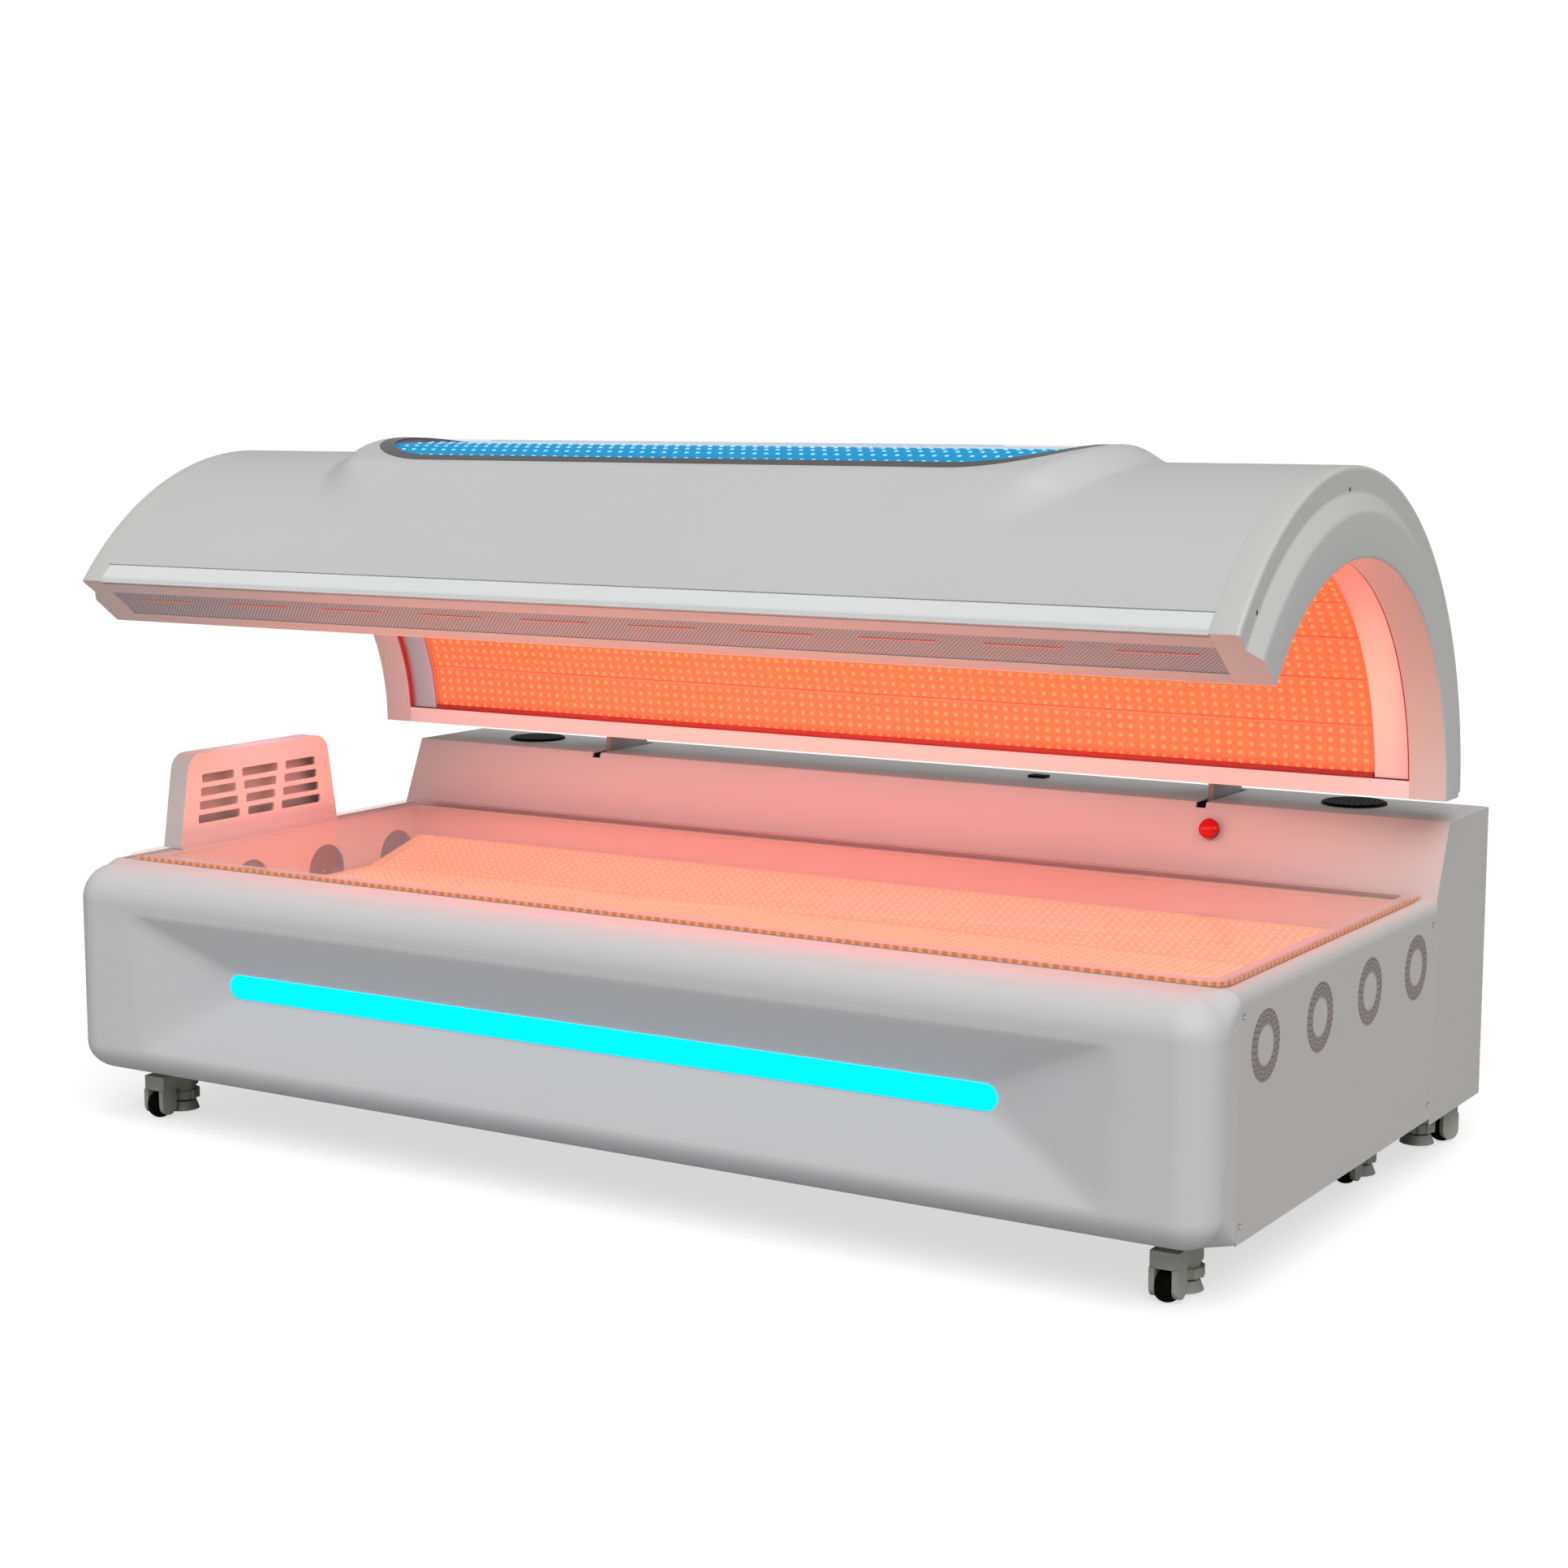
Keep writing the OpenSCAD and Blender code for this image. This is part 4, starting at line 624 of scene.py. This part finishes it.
def panel_screws():
    """Countersunk screws at the end panels' corners, with a flat driver pit."""
    head = [(5.2, -0.6), (5.2, 0.1), (4.8, 0.5), (2.6, 0.7), (2.3, -0.2), (0.01, -0.2)]
    places = ((-477.5, 425), (-477.5, 124), (321, 425), (321, 124))
    return screw_heads("panel_screws", HALF, places, head, 24, ground_steel, "bed")


def lying_sheet():
    """Acrylic sheet: outline with round corners and the hood's notch, edges polished to a 2 mm round."""
    y1 = FOOT - 0.3
    n0, n1, nx = HOOD_Y - 216.5, HOOD_Y + 216.5, 48.5 - HALF
    cx, cy0, cy1 = GLASS_X - GLASS_R, GLASS_FRONT + GLASS_R, y1 - GLASS_R

    def outline(g):
        r = GLASS_R - g
        notch = [[g - GLASS_X, n1 + g], [nx + g, n1 + g], [nx + g, n0 - g], [g - GLASS_X, n0 - g]]
        return np.concatenate([corner(cx, cy0, r, -90, 0, 10), corner(cx, cy1, r, 0, 90, 10),
                               corner(-cx, cy1, r, 90, 180, 10), notch, corner(-cx, cy0, r, 180, 270, 10)])

    rows = []
    for g, z in ((2, 0), (0.6, 0.6), (0, 2), (0, GLASS_THICK - 2), (0.6, GLASS_THICK - 0.6), (2, GLASS_THICK)):
        p = outline(g)
        rows.append(np.column_stack([p, np.full(len(p), GLASS_TOP - GLASS_THICK + z)]))
    return loft("lying_sheet_clear", rows, bed_acrylic, "bed", instead=["bed_glass"], slot="lying_acrylic", smooth=50)


def sheet_edge():
    """Front and right edges of the lying sheet, where the chips' light comes out: a band 0.4 mm outside its outline."""
    off = 0.4
    bend = corner(GLASS_X - GLASS_R, GLASS_FRONT + GLASS_R, GLASS_R + off, -90, 0, 12)
    path = np.concatenate([[[40 - GLASS_X, GLASS_FRONT - off]], bend, [[GLASS_X + off, FOOT - 12]]])
    inward = np.concatenate([[[0, 1.0]], -corner(0, 0, 1.0, -90, 0, 12), [[-1.0, 0]]])
    rows = [np.column_stack([path + inward * inset, np.full(len(path), GLASS_TOP - down)])
            for inset, down in ((0, 6.5), (0, 0.8), (1.0, 0.1))]
    quads = [tuple(f) for f in grid_quads(3, len(path))]
    piece = make_piece("lying_sheet_edge", rows, quads, lit_edge, "bed", slot="lying_acrylic", smooth=50)
    turn_towards(piece, 1, -1)
    return thicken(piece, 0.3)


def sheet_border():
    """Frosted margin of the lying sheet: its outline in rings from 2.5 to 24 mm in, a hair above its face."""
    y1, start, cx = FOOT - 1.5, 60 - GLASS_X, GLASS_X - GLASS_R
    rows = []
    for g in (2.5, 13.0, 24.0):
        p = np.concatenate([[[start, GLASS_FRONT + g]], corner(cx, GLASS_FRONT + GLASS_R, GLASS_R - g, -90, 0, 10),
                            corner(cx, y1 - GLASS_R, GLASS_R - g, 0, 90, 10), [[start, y1 - g]]])
        rows.append(np.column_stack([p, np.full(len(p), GLASS_TOP + 0.1)]))
    quads = [tuple(f) for f in grid_quads(3, len(rows[0]))]
    piece = make_piece("lying_sheet_border", rows, quads, frosted_border, "bed", slot="lying_acrylic", smooth=50)
    turn_towards(piece, 2, 1)
    return thicken(piece, 0.3)


def chips(name, centres, across, along, up, size, height, material, body, slot):
    """LED packages: a square foot and a smaller raised top at each centre, in the plane of two directions."""
    h = size / 2
    foot = np.array([[-1, -1], [1, -1], [1, 1], [-1, 1]]) * h
    centres = centres[:, None, :]
    across, along, up = (np.broadcast_to(v, (centres.shape[0], 3))[:, None, :] for v in (across, along, up))
    low = centres + foot[None, :, :1] * across + foot[None, :, 1:] * along
    top = centres + 0.62 * (foot[None, :, :1] * across + foot[None, :, 1:] * along) + height * up
    points = np.concatenate([low, top], 1).reshape(-1, 3)
    cell = np.array([[0, 1, 5, 4], [1, 2, 6, 5], [2, 3, 7, 6], [3, 0, 4, 7], [4, 5, 6, 7]])
    faces = (cell[None] + 8 * np.arange(centres.shape[0])[:, None, None]).reshape(-1, 4)
    return make_piece(name, points, faces, material, body, slot=slot, smooth=0)


def canopy_chips():
    """Chips 20 mm apart in rows CHIP_PITCH apart on the inner side of each flat board, five rows to a board."""
    pitch = (ARCH_END - 2 * RAIL) / BOARDS
    xs = (np.arange(97) - 48) * 20.0
    centres, along, up = [], [], []
    for i in range(BOARDS):
        a = math.radians(RAIL + pitch * (i + 0.5))
        out, round_ = np.array([0, math.cos(a), math.sin(a)]), np.array([0, -math.sin(a), math.cos(a)])
        for k in range(-2, 3):
            c = np.array([0, ARCH_Y, ARCH_Z]) + out * (BOARD_R - 0.05) + round_ * k * CHIP_PITCH
            centres.append(c + np.outer(xs, [1, 0, 0]))
            along.append(np.broadcast_to(round_, (len(xs), 3)))
            up.append(np.broadcast_to(-out, (len(xs), 3)))
    return chips("canopy_chips", np.concatenate(centres), np.array([-1.0, 0, 0]), np.concatenate(along),
                 np.concatenate(up), 8.0, 1.8, led_chip, "canopy", "led_boards")


def bed_chips():
    """Chips CHIP_PITCH apart on the tub's floor board and on its two sloping boards."""
    xs = (np.arange(121) - 60) * CHIP_PITCH
    front, back, floor, rise, slope = -467.5, 311.5, 355.0, 44.0, 162.0
    run, tilt = math.hypot(rise, slope), math.atan2(rise, slope)
    centres, along, up = [], [], []
    for y in np.arange(-295, 145, CHIP_PITCH):
        centres.append(np.column_stack([xs, np.full(len(xs), y), np.full(len(xs), floor + BOARD_THICK)]))
        along.append(np.broadcast_to([0, 1.0, 0], (len(xs), 3)))
        up.append(np.broadcast_to([0, 0, 1.0], (len(xs), 3)))
    for side, y0 in ((-1, front + slope), (1, back - slope)):
        d = np.array([0, side * math.cos(tilt), math.sin(tilt)])
        n = np.array([0, -side * math.sin(tilt), math.cos(tilt)])
        for k in np.arange(13, run - 9, CHIP_PITCH):
            c = np.array([0, y0, floor]) + d * k + n * BOARD_THICK
            centres.append(c + np.outer(xs, [1, 0, 0]))
            along.append(np.broadcast_to(d * side, (len(xs), 3)))
            up.append(np.broadcast_to(n, (len(xs), 3)))
    return chips("bed_chips", np.concatenate(centres), np.array([1.0, 0, 0]), np.concatenate(along),
                 np.concatenate(up), 6.0, 2.2, bed_chip, "bed", "led_boards")


# Canopy

CROWN_X, CROWN_END = 515.0, 255.0     # middle of the crown's round ends, and their radius at the foot
WINDOW_X, WINDOW_HALF = 505.0, 195.0  # straight half-length and half-width of the window, seen from above
WINDOW_BOARD = 9.0                    # depth of the window's board below the crown


def crown_radius(x, theta):
    """Radius of the shell with its crown.

    The shell is ARCH_R + swell. In the middle the crown is CROWN_R over the window and falls in a straight
    tangent flank, shell / cos(angle left), to the shell at the front and rear. Towards the ends the rise is
    multiplied by s^2 (3 - 2 s), with s falling from 1 to 0 between two rounds seen from above."""
    a = np.radians(theta)
    shell = ARCH_R + swell(theta)
    off = np.degrees(np.arcsin((WINDOW_HALF + 9) / CROWN_R))
    reach = np.degrees(np.arccos(np.clip(shell / CROWN_R, 0, 1)))
    past = np.clip(np.abs(theta - 90) - off, 0, None)
    flank = shell / np.cos(np.radians(np.clip(reach - past, 0, None)))
    top = np.where(past <= 0, CROWN_R, np.minimum(flank, CROWN_R))
    y = ARCH_R * np.cos(a)
    d = np.hypot(np.clip(np.abs(x) - CROWN_X, 0, None), y * 0.72)
    s = np.clip((CROWN_END - d) / (CROWN_END - 188), 0, 1)
    s = np.where(np.abs(x) <= CROWN_X, 1.0, s * s * (3 - 2 * s))
    return shell + (np.maximum(top, shell) - shell) * s


def window_outline(w, n_arc, n_side):
    """Stadium of half-width w about the window's middle, seen from above, from its right end on."""
    a = np.radians(np.linspace(-90, 90, n_arc + 1)[:-1])
    right = np.stack([WINDOW_X + w * np.cos(a), w * np.sin(a)], -1)
    top = np.stack([np.linspace(WINDOW_X, -WINDOW_X, n_side + 1)[:-1], np.full(n_side, w)], -1)
    return np.concatenate([right, top, -right, -top])


def shell_skin():
    """Ring-shaped grid from the window's stadium outline to the shell's rectangle in (x, angle).

    Spokes start on the stadium at even steps and end on the rectangle; points between them are straight
    blends in (x, angle), and the radius at each comes from crown_radius."""
    n_arc, n_side, n_out = 40, 120, 90
    ix, iy = window_outline(WINDOW_HALF, n_arc, n_side).T
    itheta = np.degrees(np.arccos(iy / CROWN_R))
    ox = np.concatenate([np.full(n_arc, SHELL_X), np.linspace(SHELL_X, -SHELL_X, n_side + 1)[:-1],
                         np.full(n_arc, -SHELL_X), np.linspace(-SHELL_X, SHELL_X, n_side + 1)[:-1]])
    up, down = 0.3, LIP
    lin = np.linspace(down, up, n_arc + 1)[:-1]
    otheta = np.concatenate([lin, np.full(n_side, up), np.linspace(up, down, n_arc + 1)[:-1], np.full(n_side, down)])
    k = (np.linspace(0, 1, n_out) ** 1.25)[:, None]
    x = ix * (1 - k) + ox * k
    theta = itheta * (1 - k) + otheta * k
    points = round_middle(crown_radius(x, theta), np.radians(theta), x)
    quads = [tuple(f) for f in grid_quads(n_out, len(ix), close_v=True)]
    piece = make_piece("canopy_shell_skin", points, quads, abs_shell, "canopy", ["canopy_shell"], "shell_moulding",
                       smooth=35)
    turn_towards(piece, 2, 1)
    return thicken(piece, 4)


def window_sheet(name, inset0, inset1, drop, material, instead, slot, thick):
    """Band or panel of the window: stadium outlines between two insets, bent to the crown less a drop."""
    rows = []
    for g in np.linspace(inset0, inset1, 8):
        x, y = window_outline(WINDOW_HALF - g, 32, 60).T
        rows.append(round_middle(CROWN_R - drop, np.arccos(y / CROWN_R), x))
    quads = [tuple(f) for f in grid_quads(len(rows), len(rows[0]), close_v=True)]
    piece = make_piece(name, rows, quads, material, "canopy", instead, slot, smooth=40, merge=True)
    turn_towards(piece, 2, 1)
    return thicken(piece, thick)


def window_chips():
    """Rows of chips 22 mm apart, the rows 36 mm apart, on the window's board, 40 mm and more inside its stadium."""
    xs, ys = np.arange(-660, 661, 22.0), np.arange(-144, 145, 36.0)
    gx, gy = (g.ravel() for g in np.meshgrid(xs, ys, indexing="ij"))
    keep = np.hypot(np.clip(np.abs(gx) - WINDOW_X, 0, None), gy) < WINDOW_HALF - 40
    gx, gy = gx[keep], gy[keep]
    ang = np.arccos(gy / CROWN_R)
    out = np.stack([np.zeros_like(ang), np.cos(ang), np.sin(ang)], -1)
    centres = round_middle(CROWN_R - WINDOW_BOARD, ang, gx)
    along = np.stack([np.zeros_like(ang), np.sin(ang), -np.cos(ang)], -1)
    return chips("window_chips", centres, np.array([1.0, 0, 0]), along, out, 6.0, 1.5, blue_chip, "canopy", "window_leds")


def ring_section():
    """Section of an end ring: inner band, flat face, slope down to the step, and the outer band, edges eased."""
    points = [(RING_R, SHELL_X), (RING_R, RING_X), (ARCH_R - 62, RING_X), (ARCH_R - 37, RING_X - STEP),
              (ARCH_R, RING_X - 16), (ARCH_R, SHELL_X)]
    return eased_outline(points, (0.5, 4, 14, 9, 7, 0.5))


def lip_strip():
    """Strip along the lip: its section, as (angle, radius), steps in from the shell, leans out and ends in a bead."""
    section = [(LIP - 0.1, 529), (LIP - 0.1, 533.5), (LIP + 0.04, 535.8), (138.5, 536.1), (138.75, 536.2),
               (139.5, 536.7), (140.6, 537.7), (141.1, 538.4), (141.4, 538.5), (141.6, 538.0), (141.8, 536.9),
               (141.95, 535.6), (142.2, 535.0), (ARCH_END, 534.2), (ARCH_END, 529)]
    theta, radius = np.array(section).T
    sections = on_arch(radius[None], theta[None], np.array([[-TRIM_X], [TRIM_X]]))
    return loft("lip_front_strip", sections, lacquered_trim, "canopy", instead=["front_trim"],
                slot="trim_aluminium", smooth=50)


def ring_screws():
    """Two small dark screws on each end ring's step."""
    head = [(3.6, -1.0), (3.6, 0.6), (3.0, 1.0), (1.4, 1.0), (1.2, 0.2), (0.01, 0.2)]
    places = [on_arch(506, theta, 0)[1:] for theta in (91.7, 135.4)]
    return screw_heads("ring_screws", RING_X - STEP, places, head, 16, powder_black, "canopy")


def mesh_slots():
    """Lit slits under the lip: thin stadium prisms that just stand out of the grille."""
    points, faces = [], []
    count, radius, half_height, shift = 10, 481.0, 1.1, 10.0
    pitch = 2 * SHELL_X / count
    flat = pitch * 0.305
    ang = math.radians(ARCH_END)
    along = np.array([0, math.cos(ang), math.sin(ang)])
    out = np.array([0, -math.sin(ang), math.cos(ang)])
    a = np.radians(np.linspace(-90, 90, 9))
    right = np.stack([flat + half_height * np.cos(a), half_height * np.sin(a)], -1)
    o = np.concatenate([right, -right])
    n = len(o)
    for i in range(count):
        c = round_middle(radius, ang, shift - SHELL_X + pitch * (i + 0.5))
        base = sum(len(p) for p in points)
        for height in (-1.0, 0.05):
            points.append(c + o[:, :1] * [1, 0, 0] + o[:, 1:] * along + height * out)
        faces += [(base + k, base + (k + 1) % n, base + n + (k + 1) % n, base + n + k) for k in range(n)]
        faces += [tuple(base + n + k for k in range(n)), tuple(base + k for k in range(n))[::-1]]
    return make_piece("lip_slits", np.concatenate(points), faces, lit_slit, "canopy", slot="led_boards",
                      smooth=0, merge=True)


# Pieces that take the place of CAD nodes, or are added to them

front_cover()
front_light()
for side in (-1, 1):
    end_panel(side)
panel_screws()
lying_sheet()
sheet_edge()
sheet_border()
bed_chips()
canopy_chips()
shell_skin()
window_sheet("window_border_band", 0.5, 26, 0.5, window_border, ["window_frame"], "window_border", 3)
window_sheet("window_clear", 26, 194.9, 2.5, window_acrylic, ["window_lens"], "window_acrylic", 3)
window_sheet("window_board_lit", 5, 194.9, WINDOW_BOARD, blue_board, ["window_board"], "window_leds", 2)
window_chips()
for side, word in ((-1, "left"), (1, "right")):
    arch_loft("canopy_ring_" + word, ring_section(), 0, ARCH_END, abs_ring, steps=150, side=side,
              instead=["canopy_end_" + word], slot="end_moulding", smooth=32)
lip_strip()
arch_loft("lip_front_flange", box_profile(ARCH_R - 35, ARCH_R - 4, -TRIM_X, TRIM_X, 0.6), ARCH_END - 0.5, ARCH_END,
          lacquered_flange_painted_shade, steps=3, slot="trim_aluminium")
arch_loft("lip_inner_strip", box_profile(RING_R, RING_R + 3, -TRIM_X, TRIM_X, 0.6), LIP, ARCH_END,
          lacquered_trim, steps=10, instead=["inner_trim"], slot="trim_aluminium")
arch_loft("lip_inner_flange", box_profile(RING_R + 2, RING_R + 25, -TRIM_X, TRIM_X, 0.6), ARCH_END - 0.6, ARCH_END,
          lacquered_flange_painted_shade, steps=3, slot="trim_aluminium")
arch_loft("lip_grille_sheet", box_profile(RING_R + 25, ARCH_R - 35, -TRIM_X, TRIM_X, 0.1), ARCH_END - 0.35,
          ARCH_END - 0.12, lip_grille, steps=3, instead=["mesh_panel"], slot="grille_sheet")
mesh_slots()
ring_screws()
arc0, arc1, shadow_strip_x = RAIL + 0.2, LIP - 0.2, SHELL_X - 2.2
for side, word in ((-1, "left"), (1, "right")):
    more = dict(steps=100, side=side, slot="reflector_sheet")
    arch_loft("reflector_" + word, box_profile(RING_R + 8, RING_R + 10, BOARD_X, shadow_strip_x, 0.4), arc0, arc1,
              bright_reflector, instead=["canopy_reflectors"] if side > 0 else (), **more)
    arch_loft("reflector_wall_" + word, box_profile(RING_R + 8, BOARD_R + BOARD_THICK, BOARD_X, BOARD_X + 2, 0.4),
              arc0, arc1, bright_reflector, **more)
    # Dark red strip against each ring's step wall: painted shade of the gap beside the reflector
    arch_loft("ring_shadow_strip_" + word, box_profile(RING_R + 0.6, RING_R + 8, shadow_strip_x, TRIM_X, 0.4), arc0, arc1,
              red_shadow_paint, **more)
# Thin strips in the joints between the boards, with a painted glow
for i in range(1, BOARDS):
    joint = RAIL + (ARCH_END - 2 * RAIL) / BOARDS * i
    arch_loft(f"board_joint_{i}", box_profile(BOARD_R - 1, BOARD_R + 1, 2 - BOARD_X, BOARD_X - 2, 0.3),
              joint - 0.28, joint + 0.28, joint_painted_glow, steps=2, slot="led_boards")
# Dark red strip along the lowest board's edge: painted shade of the gap above the rear rail
arch_loft("rail_shadow_strip", box_profile(RING_R + 5, RING_R + 14, 1 - BOARD_X, BOARD_X - 1, 1.2), RAIL - 0.1, RAIL + 1.1,
          red_shadow_paint, steps=4, slot="reflector_sheet")

# CAD nodes whose flat shape is right keep it, with their edges eased where they show
softened("rear_cabinet", powder_cabinet, 1.5, "bed")
softened("air_hood", powder_cabinet, 1.5, "bed")
softened("tub_liner", tub_paint, 0.8, "bed")
softened("top_socket", moulded_black, 0.8, "bed")
softened("deck_frame", tub_paint, 0.8, "bed")
for i in range(1, 7):
    softened(f"caster_fork_{i}", cast_paint, 0, f"caster_{i}", smooth=40)
    softened(f"caster_wheel_{i}", tyre_rubber, 0, f"wheel_{i}", smooth=40)
softened("stop_button", red_moulding, 0, "stop_button_body", smooth=40)
softened("speakers", moulded_black, 0, "bed", smooth=40)
softened("stop_collar", moulded_black, 0, "bed", smooth=40)

node_finish = {
    "base_frame": powder_black, "vent_grilles": vent_paint_painted_shade, "bed_led_boards": bed_board, "fan_housings": moulded_fan,
    "light_channel": anodised_channel, "rear_panel": powder_back, "power_supplies": case_aluminium, "control_box": powder_box,
    "mains_inlet": moulded_black, "hinge_brackets": powder_black, "hinge_pins": ground_steel, "hinge_arms": powder_arm,
    "gas_spring_tube_left": black_enamel, "gas_spring_tube_right": black_enamel,
    "gas_spring_rod_left": ground_steel, "gas_spring_rod_right": ground_steel,
    "canopy_led_boards": red_board, "rear_rail": lacquered_trim, "canopy_frame": powder_black, "caster_plates": ground_steel,
}
for i in range(1, 5):
    node_finish[f"fan_impellers_{i}"] = moulded_fan
for name, material in node_finish.items():
    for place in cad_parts[name].material_slots:
        place.material = material

# Floor, light and camera

# The floor looks pale, but throws back only as much light as a mid-grey studio floor would
pale_floor = finish_material("pale_floor", "#B4B4B4", "#B2B2B2", grain_mm=20, cloud_mm=3000, rough=(0.7, 0.8), IOR=1.4,
                             **{"Emission Color": (1, 1, 1, 1)})
floor_tree = pale_floor.node_tree
floor_surface = next(n for n in floor_tree.nodes if n.type == "BSDF_PRINCIPLED")
floor_seen = add(floor_tree, "ShaderNodeLightPath").outputs["Is Camera Ray"]
paleness = add(floor_tree, "ShaderNodeMapRange", {"Value": floor_seen, "To Max": 0.66})
floor_tree.links.new(paleness.outputs[0], floor_surface.inputs["Emission Strength"])
floor_mesh = bpy.data.meshes.new("floor")
floor_mesh.from_pydata([(-400, -400, 0), (400, -400, 0), (400, 400, 0), (-400, 400, 0)], [], [(0, 1, 2, 3)])
floor_mesh.materials.append(pale_floor)
floor = bpy.data.objects.new("floor", floor_mesh)
bpy.context.scene.collection.objects.link(floor)

# Room: dim grey light from all round, with a white wall where the camera looks
world = bpy.data.worlds.new("soft_room")
world.use_nodes = True
room = world.node_tree
room.nodes.clear()
wall_seen = add(room, "ShaderNodeLightPath").outputs["Is Camera Ray"]
level = add(room, "ShaderNodeMapRange", {"Value": wall_seen, "To Min": 0.32, "To Max": 1.0})
room_light = add(room, "ShaderNodeBackground", {0: (1, 1, 1, 1), 1: level.outputs[0]})
room.links.new(room_light.outputs[0], add(room, "ShaderNodeOutputWorld").inputs[0])
bpy.context.scene.world = world

# One wide soft light, high on the right of the front
key = bpy.data.lights.new("key", "SUN")
key.energy = 2.25
key.angle = math.radians(45)
key_lamp = bpy.data.objects.new("key", key)
bpy.context.scene.collection.objects.link(key_lamp)
key_lamp.rotation_euler = (math.radians(40), 0, math.radians(36.5))

# Under the canopy: the room's light that its shell keeps off, and the red light of the bed's boards on its inside
lamps = (("fill_down", (-0.15, -0.10, 0.77), 0.3, 0.3, 2.9, "#FFEAFF"),
         ("glow_up", (0, -0.18, 0.49), math.pi, 0.75, 6.5, "#FF9A7C"))
for name, place_m, tilt, depth, power, hue in lamps:
    data = bpy.data.lights.new(name, "AREA")
    data.shape, data.size, data.size_y, data.energy = "RECTANGLE", 2.0, depth, power
    data.color = linear(hue)[:3]
    lamp = bpy.data.objects.new(name, data)
    bpy.context.scene.collection.objects.link(lamp)
    lamp.location, lamp.rotation_euler, lamp.visible_camera = place_m, (tilt, 0, 0), False
bpy.context.scene.view_settings.view_transform = "Standard"

camera_data = bpy.data.cameras.new("camera")
camera_data.lens = 63.85
camera_data.sensor_width = 36
camera_data.clip_end = 200
camera = bpy.data.objects.new("camera", camera_data)
bpy.context.scene.collection.objects.link(camera)
camera.location = (2.5265, -4.0310, 1.2782)
camera.rotation_euler = (math.radians(90 - 7.925), 0, math.radians(31.745))
bpy.context.scene.camera = camera
